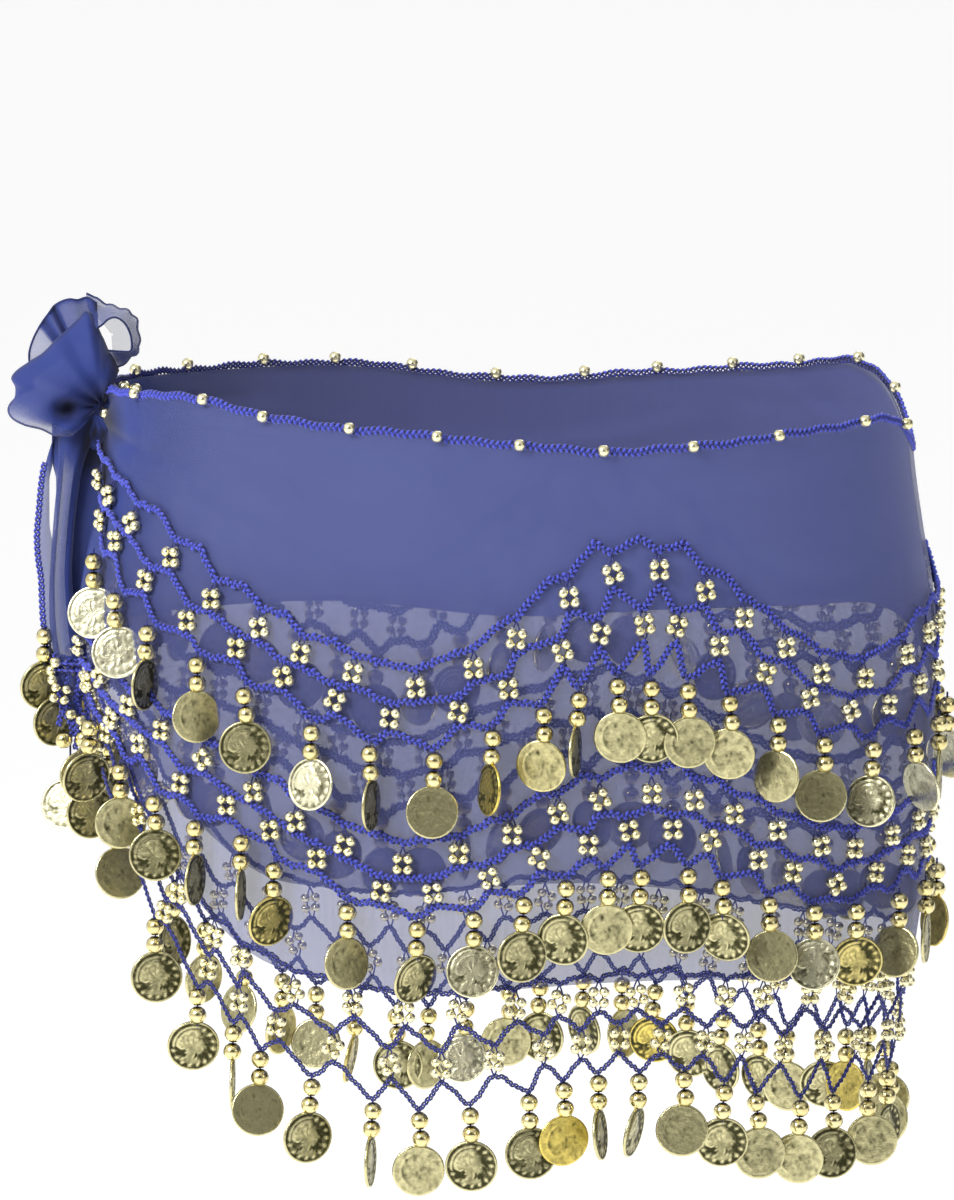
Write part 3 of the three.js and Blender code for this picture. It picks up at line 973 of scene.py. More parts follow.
@dataclass
class Strip:
    """The chiffon strip in its two stretches round the hips, and the doubled band inside the back."""

    finish: bpy.types.Material
    # Doubled chiffon that covers more, darker than the chiffon as painted shade inside the back.
    band_finish_painted_shade: bpy.types.Material
    form: HipForm = field(default_factory=lambda: FORM_OF_HIPS)
    thickness: float = 0.4
    middle: float = 0.6
    band_depth: float = 100
    fade_start: float = 52
    fade_depth: float = 30
    band_start: float = 91
    band_end: float = 258
    band_inset: float = -1.0
    gather: tuple[float, float, float] = (-168.0, 0.0, -6.0)
    gather_reach: float = 38
    across: int = 150
    down: int = 64
    band_down: int = 30

    def surface(self, start: float, end: float, foot: str | None, offset: float,
                down: int) -> tuple[Array, Array, Array]:
        """Points of the strip between two angles, from its top edge to its hem or the band's foot.

        Its tone rises where the cloth is drawn into the knot, by a bell of the distance to the gather
        with fine folds in it; near the knot it passes 0.82, which is painted shade.

        Args:
            start: First angle.
            end: Last angle.
            foot: Name of the line at the foot, or None for the band.
            offset: Distance out of the form.
            down: Number of rows.

        Returns:
            The grid of points, its map in millimetres, and its tone.
        """
        arcs = np.linspace(self.form.arc(start), self.form.arc(end), self.across)
        angle = self.form.angle(arcs)[:, None]
        top = self.form.top(angle)
        low = top - self.band_depth if foot is None else self.form.line(foot, angle)
        v = np.linspace(0, 1, down)[None]
        z = top + (low - top) * v
        points = self.form.point(angle, z, offset)
        uv = np.stack(np.broadcast_arrays(z, arcs[:, None]), axis=-1)
        # Painted shade: the cloth darkens into the gather by the knot, more in its folds.
        reach = np.linalg.norm((points - np.array(self.gather)) * np.array([1.0, 0.6, 0.55]), axis=-1)
        fold = 0.5 + 0.5 * np.cos(9 * np.arctan2(z, self.form.from_knot(angle) * 2.2))
        tone = 0.5 + np.exp(-((reach / self.gather_reach) ** 2)) * (0.48 + 0.14 * fold)
        return points, uv, tone

    def build(self) -> None:
        """Makes the front stretch, the back stretch and the band."""
        form = self.form
        for side, start, end in (("front", form.front_end, form.side), ("back", form.side, form.back_end)):
            parts = Parts()
            points, uv, tone = self.surface(start, end, "hem", self.middle, self.down)
            drop = form.top(form.angle(uv[..., 1])) - uv[..., 0]
            fade = np.clip((drop - self.fade_start) / self.fade_depth, 0, 1)
            parts.shell(points, self.thickness, uv, tone, fade)
            piece = finish_piece(parts.build(f"wrap_{side}", self.finish), "chiffon", f"cloth_{side}")
        parts = Parts()
        points, uv, tone = self.surface(
            self.band_start, self.band_end, None, self.band_inset, self.band_down
        )
        parts.shell(points, self.thickness, uv, tone)
        band = finish_piece(parts.build("top_band", self.band_finish_painted_shade), "chiffon", "band_inner")


# ---------------------------------------------------------------- crochet, beads and coins


@dataclass
class SmallBeads:
    """Seed beads, singly or as flowers of four."""

    radius: float = 2.2
    spread: float = 3.105
    out: float = 2.4
    length: float = 0.92

    def flower(self, parts: Parts, centres: Array, outward: Array, spin: Array, tones: Array) -> None:
        """Adds flowers: four beads round each centre, each bead's hole pointing to the middle.

        Args:
            parts: The patches to add to.
            centres: (m, 3) middles.
            outward: (m, 3) directions away from the cloth.
            spin: (m,) turn of each flower, in degrees.
            tones: (m,) tones.
        """
        shape, caps, quads, relief = ball(8, 6)
        up = np.array([0.0, 0.0, 1.0])
        side = unit(np.cross(outward, up))
        rise = np.cross(side, outward)
        for quarter in range(4):
            turn = np.radians(spin + 45 + 90 * quarter)[:, None]
            away = side * np.cos(turn) + rise * np.sin(turn)
            cross = np.cross(away, outward)
            frames = np.stack([cross, outward, away * self.length], axis=-1) * self.radius
            places = centres + away * self.spread + outward * self.out
            scatter(parts, shape, [quads, caps], places, frames, tones, relief=relief)

    def single(self, parts: Parts, centres: Array, size: float = 1.0) -> None:
        """Adds single round beads."""
        shape, caps, quads, relief = ball(10, 6)
        frames = np.repeat(np.eye(3)[None] * self.radius * size, len(centres), axis=0)
        tones = np.linspace(0.1, 0.9, len(centres))
        scatter(parts, shape, [quads, caps], centres, frames, tones, relief=relief)


@dataclass
class CoinStamp:
    """The stamped coin: a thin disc with a rim, a ring of dots and a head in profile on one side."""

    radius: float = 10.5
    thickness: float = 0.7
    rings: int = 13
    segments: int = 48
    dots: int = 16
    dot_ring: float = 8.1
    hole: float = 0.8
    relief: float = 0.5

    # Rounded lumps of the head, which looks towards +X: middle, half-widths, turn and height
    LUMPS = table(
        "x y a b turn h",
        (-1.2, 2.3, 4.4, 3.9, 12, 0.85),
        (1.5, 0.4, 2.7, 3.6, -4, 0.72),
        (4.1, 0.5, 1.0, 0.75, -30, 0.75),
        (3.4, -1.1, 0.9, 0.6, 0, 0.7),
        (2.8, -2.4, 1.2, 0.9, 0, 0.75),
        (-0.7, -3.0, 1.9, 2.9, 8, 0.6),
        (0.2, -6.4, 4.6, 1.5, 0, 0.65),
        (-4.6, -0.4, 1.7, 1.6, 0, 0.8),
    )

    def head(self, x: Array, y: Array) -> Array:
        """Height of the head: the highest of its lumps, each a dome over an ellipse, with waved hair."""
        height = np.zeros_like(x)
        for lump in self.LUMPS:
            turn = math.radians(lump["turn"])
            dx, dy = x - lump["x"], y - lump["y"]
            u = (dx * math.cos(turn) + dy * math.sin(turn)) / lump["a"]
            v = (-dx * math.sin(turn) + dy * math.cos(turn)) / lump["b"]
            height = np.maximum(height, lump["h"] * np.sqrt(np.clip(1 - u * u - v * v, 0, 1)))
        locks = 0.5 + 0.5 * np.cos(4.0 * np.hypot(x - 1.0, y - 0.6))
        hair = smoothstep(-x + 0.9 * y, 0.2, 1.6) * (height > 0.05)
        return height * (1 - 0.75 * hair * (1 - locks))

    def obverse(self, x: Array, y: Array) -> Array:
        """Relief of the head side, from 0 to 1: rim, two arcs, a broken ring of dots and the head."""
        r, turn = np.hypot(x, y), np.arctan2(y, x)
        rim = smoothstep(r, self.radius - 1.0, self.radius - 0.45)
        step = 2 * np.pi / self.dots
        near = (turn + step / 2) % step - step / 2
        dots = np.clip(1.25 - np.hypot(r - self.dot_ring, near * r) / 0.95, 0, 1)
        upper_left = smoothstep(np.cos(turn - math.radians(137)), 0.5, 0.66)
        dots = dots * (1 - upper_left)
        arcs = np.exp(-(((r - 7.9) / 0.42) ** 2)) + 0.8 * np.exp(-(((r - 6.5) / 0.36) ** 2))
        head = self.head(x, y)
        edge = np.exp(-(((head - 0.25) / 0.13) ** 2))
        figure = (head > 0.02) * (0.16 + 0.55 * head**1.5 + 0.55 * edge)
        return np.maximum.reduce([0.05 + 0 * r, rim * 0.85, dots, arcs * upper_left, figure * (r < 7.4)])

    def reverse(self, x: Array, y: Array) -> Array:
        """Relief of the plain side: a rim, a crescent, a worn middle and soft pits."""
        r, turn = np.hypot(x, y), np.arctan2(y, x)
        rim = 0.26 * smoothstep(r, self.radius - 1.0, self.radius - 0.4)
        crescent = 0.30 * np.exp(-(((r - 7.4) / 0.5) ** 2)) - 0.28 * np.exp(-(((r - 6.2) / 0.6) ** 2))
        crescent = crescent * smoothstep(np.cos(turn - math.radians(175)), 0.2, 0.7)
        worn = -0.16 * np.exp(-(((x - 1.0) / 2.2) ** 2 + ((y + 0.6) / 3.0) ** 2))
        chance = np.random.default_rng(77)
        pits = np.zeros_like(x)
        for _ in range(60):
            place, size = chance.uniform(-8, 8, 2), chance.uniform(0.35, 0.7)
            across, down = (x - place[0]) / size, (y - place[1]) / (1.7 * size)
            pits -= chance.uniform(0.12, 0.3) * np.exp(-(across**2 + down**2))
        return np.clip(0.60 + rim + crescent + worn + pits, 0, 1)

    def shape(self) -> tuple[Array, list[Array], Array, Array]:
        """Points, faces, map and relief of one coin in the XZ plane, with its head towards -Y.

        Both sides are polar grids whose height is the relief; the rings crowd towards the rim. The
        coin hangs from its top, so its middle is one radius below the origin.
        """
        steps = np.linspace(0, 1, self.rings + 1)[1:]
        radii = self.radius * (1 - (1 - steps) ** 1.25)
        turn = np.arange(self.segments) * 2 * np.pi / self.segments
        x, y = radii[:, None] * np.cos(turn), radii[:, None] * np.sin(turn)
        sides, worn_height = [], 0.6 * self.relief
        for face, relief, height in (
            (-1, self.obverse(x, y), self.relief),
            (1, self.reverse(-x, y), worn_height),
        ):
            depth = face * (self.thickness / 2 + relief * height)
            depth[-1] = face * self.thickness * 0.35
            sides.append((np.stack([x, depth, y], axis=-1), relief))
        centre_relief = float(self.obverse(np.array([0.0]), np.array([0.0]))[0])
        centres = np.array([[0, -(self.thickness / 2 + centre_relief * self.relief), 0],
                            [0, self.thickness / 2 + 0.5 * worn_height, 0]])
        points = np.concatenate([sides[0][0].reshape(-1, 3), sides[1][0].reshape(-1, 3), centres])
        relief = np.concatenate([sides[0][1].ravel(), sides[1][1].ravel(), [centre_relief, 0.5]])
        layer = self.rings * self.segments
        quads = grid_quads(self.rings, self.segments, wrap=True)
        last = layer - self.segments
        number, following = np.arange(self.segments), np.roll(np.arange(self.segments), -1)
        near, far = last + number, last + following
        rim = np.stack([near, far, far + layer, near + layer], -1)
        caps = np.concatenate([
            np.stack([np.full(self.segments, 2 * layer), number, following], -1),
            np.stack([np.full(self.segments, 2 * layer + 1), layer + following, layer + number], -1),
        ])
        faces = [np.concatenate([quads[:, ::-1], quads + layer, rim[:, ::-1]]), caps]
        if signed_volume(points, faces[0]) < 0:
            faces = [face[:, ::-1] for face in faces]
        points[:, 2] -= self.radius - self.hole
        uv = points[:, [0, 2]]
        return points, faces, uv, relief


@dataclass
class Trims:
    """Finishes and shapes that every tier shares."""

    yarn: bpy.types.Material
    # A brighter copy of the yarn for the back nets: painted light, as they hang in shade behind the cloth.
    back_yarn_painted_light: bpy.types.Material
    small_gold: bpy.types.Material
    large_gold: bpy.types.Material
    coin_gold: bpy.types.Material
    beads: SmallBeads = field(default_factory=SmallBeads)
    stamp: CoinStamp = field(default_factory=CoinStamp)
    large_radius: float = 3.65
    thread_radius: float = 0.42

    def drops(self, name: str, places: Array, outward: Array, seed: int, nodes: tuple[str, ...],
              faces: tuple[tuple[float, ...], tuple[float, ...]] | None = None) -> None:
        """Hangs two large beads and a coin below each place.

        Args:
            name: End of the pieces' names.
            places: (m, 3) low points of the net, in millimetres.
            outward: (m, 3) level directions out of the form.
            seed: Seed of the small differences between drops.
            nodes: Solids that the coins stand for.
            faces: Turn of each coin from facing the front, in degrees, and tone of each; or None to
                draw them.
        """
        chance = np.random.default_rng(seed)
        count = len(places)
        up = np.array([0.0, 0.0, 1.0])
        side = unit(np.cross(up, outward))
        sway = chance.normal(0, 0.5, (count, 2))
        beads, coins, threads = Parts(), Parts(), Parts()
        shape, caps, quads, relief = ball(10, 7, 0.5)
        first = places - up * (self.large_radius + 0.3)
        second = first - up * (2 * self.large_radius + 0.1)
        second = second + side * sway[:, :1] + outward * 0.3 * sway[:, 1:]
        for centres, tones in ((first, chance.random(count)), (second, chance.random(count))):
            frames = np.repeat(np.eye(3)[None] * self.large_radius, count, axis=0)
            scatter(beads, shape, [quads, caps], centres, frames, tones, relief=relief)
        finish_piece(beads.build(f"drop_beads_{name}", self.large_gold), "bead")
        hang = second - up * (self.large_radius - 0.3) + side * 0.6 * sway[:, 1:]
        if faces is None:
            turn = chance.normal(0, 26, count) + np.where(chance.random(count) < 0.16, 72.0, 0.0)
            turn = turn + np.where(chance.random(count) < 0.5, 180.0, 0.0)
            metal = chance.random(count)
        else:
            turn = np.array(faces[0], float) - np.degrees(np.arctan2(outward[:, 0], -outward[:, 1]))
            metal = np.array(faces[1], float)
        self.coins_at(coins, hang, outward, turn, chance.normal(0, 5, count), metal)
        finish_piece(coins.build(f"coin_discs_{name}", self.coin_gold), "coin", *nodes)
        for k in range(count):
            path = np.linspace(places[k] + up * 1.5, hang[k] - up * 2.2, 8)
            thread(threads, path, self.thread_radius, outward[k])
        finish_piece(threads.build(f"drop_threads_{name}", self.yarn), "crochet")

    def coins_at(self, parts: Parts, hang: Array, outward: Array, yaw: Array, roll: Array,
                 tones: Array) -> None:
        """Adds coins that hang from points, turned about their threads.

        Args:
            parts: The patches to add to.
            hang: (m, 3) tops of the coins.
            outward: (m, 3) level directions that a coin with no yaw faces.
            yaw: (m,) turns about the thread, in degrees.
            roll: (m,) tilts in the coin's own plane, in degrees.
            tones: (m,) tones.
        """
        points, faces, uv, relief = self.stamp.shape()
        up = np.array([0.0, 0.0, 1.0])
        turn, tilt = np.radians(yaw)[:, None], np.radians(roll)[:, None]
        side = unit(np.cross(up, outward))
        facing = outward * np.cos(turn) + side * np.sin(turn)
        across = np.cross(up, facing)
        level = across * np.cos(tilt) + up * np.sin(tilt)
        rise = np.cross(facing, level)
        nod = np.radians(np.where(tones < 0.15, 12.0, 22 * (tones * 7.3 % 1.0) - 15))[:, None]
        facing, rise = facing * np.cos(nod) + rise * np.sin(nod), rise * np.cos(nod) - facing * np.sin(nod)
        frames = np.stack([level, -facing, rise], axis=-1)
        scatter(parts, points, faces, hang, frames, tones, uv, relief)


@dataclass(frozen=True)
class Layout:
    """Where a net's flowers and coins sit round the hips, by angle, and how its coins hang."""

    upper: tuple[float, ...]
    lower: tuple[float, ...]
    coins: tuple[float, ...]
    turns: tuple[float, ...]
    metals: tuple[float, ...]


FRONT_LAYOUTS = {
    1: Layout(
        upper=(
            -78.5, -72, -63, -52, -43, -34.5, -28, -20.5, -12, -4.5, 1, 8, 14, 20.5, 27, 32.5, 39,
            45, 54, 65, 74, 82,
        ),
        lower=(
            -75, -67, -57, -47, -38, -30.5, -23, -15.5, -6.5, 0, 7, 12, 18, 22.5, 28.5, 35.5, 43,
            51, 60, 70, 79,
        ),
        coins=(
            -73, -63, -54, -44, -36, -26, -18, -9.5, -2, 4.5, 9, 14, 18.5, 23.5, 29.5, 37, 45, 55,
            66, 76,
        ),
        turns=(
            -10, -6, 62, 205, -4, -32, 72, 186, -66, 160, 78, 176, 4, 190, 172, 148, 178, -17, 128,
            84,
        ),
        metals=(
            0.02, 0.03, 0.5, 0.6, 0.4, 0.1, 0.5, 0.45, 0.95, 0.8, 0.5, 0.4, 0.42, 0.38, 0.4, 0.45,
            0.44, 0.13, 0.11, 0.5,
        ),
    ),
    2: Layout(
        upper=(
            -78, -69, -60, -52, -44, -35.5, -29, -22, -14, -6.5, 0.5, 6.5, 12, 19, 25, 31, 38, 46,
            53, 62.5, 72, 81,
        ),
        lower=(
            -73.5, -65, -57.5, -48.5, -40, -33, -26, -17, -10, -2.5, 4, 10.5, 16, 22, 27.5, 35, 41,
            49.5, 58.5, 68, 77,
        ),
        coins=(
            -70, -61, -53, -45, -37, -32, -21.5, -12, -4.5, 2, 7.5, 13, 17.5, 24, 29, 36.5, 44.5,
            53, 64, 74,
        ),
        turns=(
            30, 190, 4, 70, 82, 35, 215, 38, -6, 20, -14, 184, 2, 24, -20, 176, -8, 6, 150, 80,
        ),
        metals=(
            0.3, 0.5, 0.25, 0.5, 0.5, 0.85, 0.6, 0.55, 0.12, 0.5, 0.35, 0.4, 0.3, 0.5, 0.55, 0.3,
            0.1, 0.85, 0.3, 0.5,
        ),
    ),
    3: Layout(
        upper=(
            -76, -68, -59, -50.5, -44, -39.5, -31, -22, -14.5, -7, 1, 7, 12.5, 18, 25, 31.5, 38,
            47, 55.5, 66, 77,
        ),
        lower=(
            -71.5, -62.5, -54, -46, -40.7, -34.5, -25.5, -17, -9.5, -2, 5, 10.3, 15.8, 22, 29,
            35.5, 43, 52, 61.5, 72, 81,
        ),
        coins=(
            -75, -66, -57, -49, -42.5, -38, -29.5, -20, -13, -5.5, 3, 8, 13, 19, 26, 33, 39, 48.5,
            56.5, 68, 78,
        ),
        turns=(
            20, 200, 10, 8, 88, 186, 24, 80, 184, -4, 10, 200, 76, 70, 176, 4, 190, 172, 12, 182,
            60,
        ),
        metals=(
            0.5, 0.3, 0.5, 0.3, 0.5, 0.55, 0.5, 0.5, 0.4, 0.2, 0.25, 0.95, 0.4, 0.3, 0.6, 0.3, 0.5,
            0.4, 0.4, 0.5, 0.5,
        ),
    ),
}


# Width of the cord in tiers 1 to 3 against the standard one
CORD_SCALES = {"front": (1.0, 1.0, 0.72), "back": (1.3, 1.3, 0.72)}


@dataclass
class NetTier:
    """One tier of crochet net: chains in zigzags, flowers of beads, and drops with coins.

    A level is 0 at the tier's top chain and 1 at the coins' threads.
    """

    tier: int
    side: str
    start: float
    end: float
    trims: Trims
    form: HipForm = field(default_factory=lambda: FORM_OF_HIPS)
    pitch: float = 17.5
    drop: float = 28.0
    cord_scale: float = 1.0
    upper_level: float = 0.22
    lower_level: float = 0.64
    flower_reach: float = 5.6
    peak: float = 4.2
    slack: tuple[float, ...] = (1.0, 0.75, 0.5)

    def settle(self, angle: Array) -> Array:
        """How far the tier lies above the plain wave: raised by the knot, and sunk at the wearer's left."""
        at_side = (20, 12, 7)[self.tier - 1] * np.exp(-(((angle - 86) / 24) ** 2))
        at_knot = (9, 0, 4)[self.tier - 1] * (1 - smoothstep(self.form.from_knot(angle), 18, 38))
        return at_knot - at_side - (6 if self.tier == 3 else 0)

    def height(self, angle: Array, level: Array | float) -> Array:
        """Height in millimetres of a level of the tier at an angle."""
        if self.tier == 3:
            top = self.form.line("hem", angle) + 3
        else:
            top = self.form.line(f"line{self.tier}", angle)
        foot = self.form.line(f"coins{self.tier}", angle) + self.drop
        sunk = self.settle(angle) * (np.asarray(level) if self.tier == 3 else 1.0)
        return top + (foot - top) * level + sunk

    def layout(self) -> tuple[Array, Array, Array]:
        """Angles of the upper flowers, the lower flowers and the coins, in order round the hips."""
        if self.side == "front":
            placed = FRONT_LAYOUTS[self.tier]
            return tuple(np.array(angles, float) for angles in (placed.upper, placed.lower, placed.coins))
        chance = np.random.default_rng(30 + self.tier)
        low, high = self.form.arc(self.start), self.form.arc(self.end)
        count = int(round((high - low) / self.pitch))
        upper = low + (np.arange(count) + 0.5) * (high - low) / count
        lower = upper[:-1] + 0.5 * np.diff(upper)
        coins = upper + chance.normal(0, 1.3, count)
        upper, lower = upper + chance.normal(0, 1.0, count), lower + chance.normal(0, 1.0, count - 1)
        return self.form.angle(upper), self.form.angle(lower), self.form.angle(coins)

    def zigzag(self, highs: tuple[Array, Array], lows: tuple[Array, Array], offset: float,
               bend: float) -> Array:
        """Path of a chain between high and low corners, each a pair of angles and heights.

        Corners are taken in order round the hips. Between two of them the chain bows out sideways of
        the straight line by a parabola, up near a high corner and down near a low one.
        """
        angle = np.concatenate([highs[0], lows[0]])
        z = np.concatenate([highs[1], lows[1]])
        is_high = np.concatenate([np.ones(len(highs[0])), np.zeros(len(lows[0]))])
        order = np.argsort(angle, kind="stable")
        angle, z, is_high = angle[order], z[order], is_high[order]
        steps = 8
        t = np.linspace(0, len(angle) - 1, (len(angle) - 1) * steps + 1)
        count = np.arange(len(angle))
        share, index = t % 1.0, np.minimum(t.astype(int), len(angle) - 2)
        rising = is_high[index + 1] - is_high[index]
        curve = bend * 4 * share * (1 - share) * np.where(rising == 0, 1.0, (share - 0.5) * 2 * rising)
        arcs = np.interp(t, count, self.form.arc(angle))
        wander = 0.45 * np.sin(arcs * 0.9 + self.tier) + 0.3 * np.sin(arcs * 2.1)
        return self.form.point(self.form.angle(arcs), np.interp(t, count, z) + curve + wander, offset)

    def top_chain(self, upper: Array, offset: float) -> Array:
        """Path of the top chain: low over each flower, with a small pointed peak before the next one."""
        low, high = self.form.arc(self.start), self.form.arc(self.end)
        arcs = self.form.arc(upper)
        peaks = self.form.angle(arcs[:-1] + 0.62 * np.diff(arcs))
        reach = self.flower_reach + 1.6
        lows = self.height(upper, self.upper_level) + reach
        phase = (self.form.arc(peaks) - self.form.scallop_low) / self.form.scallop
        crest = 0.12 + 0.88 * (0.5 - 0.5 * np.cos(2 * np.pi * phase))
        tall = 1.3 * self.peak * self.slack[self.tier - 1] * crest
        tall *= 1 + 0.3 * np.sin(np.arange(len(peaks)) * 2.4 + self.tier)
        highs = self.height(peaks, self.upper_level) + reach + tall + 1.2
        ends = self.form.angle(np.array([low, high]))
        end_heights = self.height(ends, self.upper_level) + reach + 1.5
        corners = np.concatenate([ends, peaks]), np.concatenate([end_heights, highs])
        return self.zigzag(corners, (upper, lows), offset, -0.9)

    def build(self) -> None:
        """Makes the tier's chains, threads, flowers, beads and coins."""
        free = self.tier == 3
        upper, lower, coins = self.layout()
        chance = np.random.default_rng(10 * self.tier + (self.side == "back"))
        offset = 0.8 if free else 2.4
        upper_z = self.height(upper, self.upper_level) + chance.normal(0, 0.8, len(upper))
        lower_z = self.height(lower, self.lower_level) + chance.normal(0, 0.8, len(lower))
        coins_z = self.height(coins, 1.0) + chance.normal(0, 0.8, len(coins))
        reach = self.flower_reach
        # Painted shade: the free tier's cords take less painted strand light, so they are darker.
        shade = 0.62 if free else 1.0
        paths = [
            (self.top_chain(upper, offset), 1.0),
            (self.zigzag((upper, upper_z - reach - 0.6), (lower, lower_z + reach + 0.6), offset, 1.3), 1.0),
            (self.zigzag((lower, lower_z - reach - 0.6), (coins, coins_z + 0.6), offset, 1.5), 0.95),
        ]
        cords = Parts()
        for path, scale in paths:
            ahead = np.arctan2(path[:, 0] / 172, -path[:, 1] / 120)
            CHAIN.lay(cords, path, self.form.outward(np.degrees(ahead)), scale * self.cord_scale, shade)
        self.legs(cords, upper, upper_z, offset)
        self.legs(cords, lower, lower_z, offset)
        yarn = self.trims.yarn if self.side == "front" else self.trims.back_yarn_painted_light
        net = cords.build(f"net_cords_{self.side}_{self.tier}", yarn)
        finish_piece(net, "crochet", f"net_{self.side}_{self.tier}")
        flowers = Parts()
        for angles, z in ((upper, upper_z), (lower, lower_z)):
            centres = self.form.point(angles, z, offset - 1.4)
            spin = chance.normal(0, 13, len(angles))
            outward = self.form.outward(angles)
            self.trims.beads.flower(flowers, centres, outward, spin, chance.random(len(angles)))
        finish_piece(flowers.build(f"flower_beads_{self.side}_{self.tier}", self.trims.small_gold), "bead")
        hung = self.form.point(coins, coins_z, 0.8 if free else 6.4)
        lengths = ("_right", "_middle", "_left") if free else ("",)
        nodes = [f"coins_{self.side}_{self.tier}{length}" for length in lengths]
        faces = None
        if self.side == "front":
            faces = (FRONT_LAYOUTS[self.tier].turns, FRONT_LAYOUTS[self.tier].metals)
        self.trims.drops(f"{self.side}_{self.tier}", hung, self.form.outward(coins),
                         100 + 10 * self.tier + (self.side == "back"), tuple(nodes), faces)

    def legs(self, parts: Parts, angles: Array, heights: Array, offset: float) -> None:
        """Adds the pair of thin threads that runs through each flower from chain to chain.

        Args:
            parts: The patches to add to.
            angles: (m,) angles of the flowers.
            heights: (m,) heights of the flowers.
            offset: Distance out of the form.
        """
        t = np.linspace(0, 1, 7)
        span = self.flower_reach + 1.2
        for angle, height in zip(angles, heights):
            arc = self.form.arc(angle)
            for way in (-1, 1):
                bowed = self.form.angle(arc + way * 1.9 * np.sin(np.pi * t))
                path = self.form.point(bowed, height + span * (1 - 2 * t), offset)
                thread(parts, path, 0.34, self.form.outward(np.array(angle)))


@dataclass
class TopEdging:
    """The crochet chain along the strip's top edge, with single beads."""

    trims: Trims
    form: HipForm = field(default_factory=lambda: FORM_OF_HIPS)
    front_beads: tuple[float, ...] = (-66, -48, -36.5, -22.6, -9.9, 1.5, 13.2, 26.4, 40.8, 60, 76)
    back_beads: tuple[float, ...] = (
        104, 117.3, 132.2, 145, 157.5, 168.6, 181.6, 194, 206, 218.3, 234, 250,
    )
    size: float = 1.12

    def build(self) -> None:
        """Makes the chain and beads of the front and the back."""
        form = self.form
        for side, start, end, spots, rise, out in (
            ("front", form.front_end, form.side, self.front_beads, 1.4, 3.0),
            ("back", form.side, form.back_end, self.back_beads, 3.4, 0.6),
        ):
            arcs = np.linspace(form.arc(start), form.arc(end), 240)
            angle = form.angle(arcs)
            wander = 0.35 * np.sin(arcs / 9.0) + 0.45 * np.sin(arcs / 3.1)
            path = form.point(angle, form.top(angle) + 0.9 + wander, 0.6)
            cords = Parts()
            CHAIN.lay(cords, path, form.outward(angle), self.size)
            finish_piece(cords.build(f"edging_cord_{side}", self.trims.yarn), "crochet", f"edging_{side}")
            at = np.array(spots)
            beads = Parts()
            self.trims.beads.single(beads, form.point(at, form.top(at) + rise, out), self.size)
            if side == "front":
                beside_knot = np.array([[-154.2, -15.0, 12.6], [-149.6, -16.5, 11.8], [-161.8, -15.5, 2.0]])
                self.trims.beads.single(beads, beside_knot, self.size)
            finish_piece(beads.build(f"edging_beads_{side}", self.trims.small_gold), "bead")


# ---------------------------------------------------------------- knot, bow and tail


BOW_LOBE = table(
    "angle reach",
    (66, 15.5), (82, 21.4), (87, 24.5), (94, 33.0), (98.5, 39.0), (106, 36.3), (114, 34.2),
    (123, 33.1), (138, 32.4), (149, 34.8), (162, 38.5), (167, 36.0), (174.5, 35.6), (181, 38.0),
    (186, 37.4), (193, 32.4), (200, 27.0), (209, 23.2), (222, 18.0),
)
BOW_FLARE = table(
    "angle reach",
    (93, 41.5), (98, 44.2), (103, 44.0), (107, 45.3), (112, 45.3), (116, 44.6), (121, 42.9),
    (130, 40.4), (138, 38.3), (146, 35.8), (156, 31.0),
)
BOW_LOOP = table(
    "step x z far_x far_z",
    (0, -165.2, 36.4, -169.4, 48.2),
    (1, -162.8, 38.0, -166.0, 46.6),
    (2, -160.4, 40.2, -161.6, 44.0),
    (3, -157.2, 40.9, -156.6, 42.6),
    (4, -153.8, 38.5, -152.0, 40.6),
    (5, -151.6, 34.2, -149.4, 36.9),
    (6, -151.0, 30.0, -148.6, 30.0),
    (7, -151.6, 27.2, -149.0, 25.2),
    (8, -155.6, 27.1, -152.4, 21.9),
    (9, -160.4, 27.5, -157.6, 18.0),
)
TAIL_ROLL = table(
    "z x half",
    (-122, -176.0, 3.4),
    (-116, -176.5, 4.2),
    (-103, -177.3, 5.0),
    (-88, -179.3, 5.5),
    (-70, -180.4, 4.7),
    (-61, -180.2, 4.4),
    (-41, -178.6, 4.3),
    (-22, -176.4, 4.9),
    (-10, -174.6, 6.8),
    (0, -172.0, 8.0),
)
TAIL_HEM = table(
    "z x",
    (-100, -184.0), (-86, -187.0), (-77, -187.6), (-67, -188.0), (-58, -189.2), (-49, -189.5),
    (-41, -188.8), (-24, -187.0), (-12, -183.8), (-2, -179.0),
)


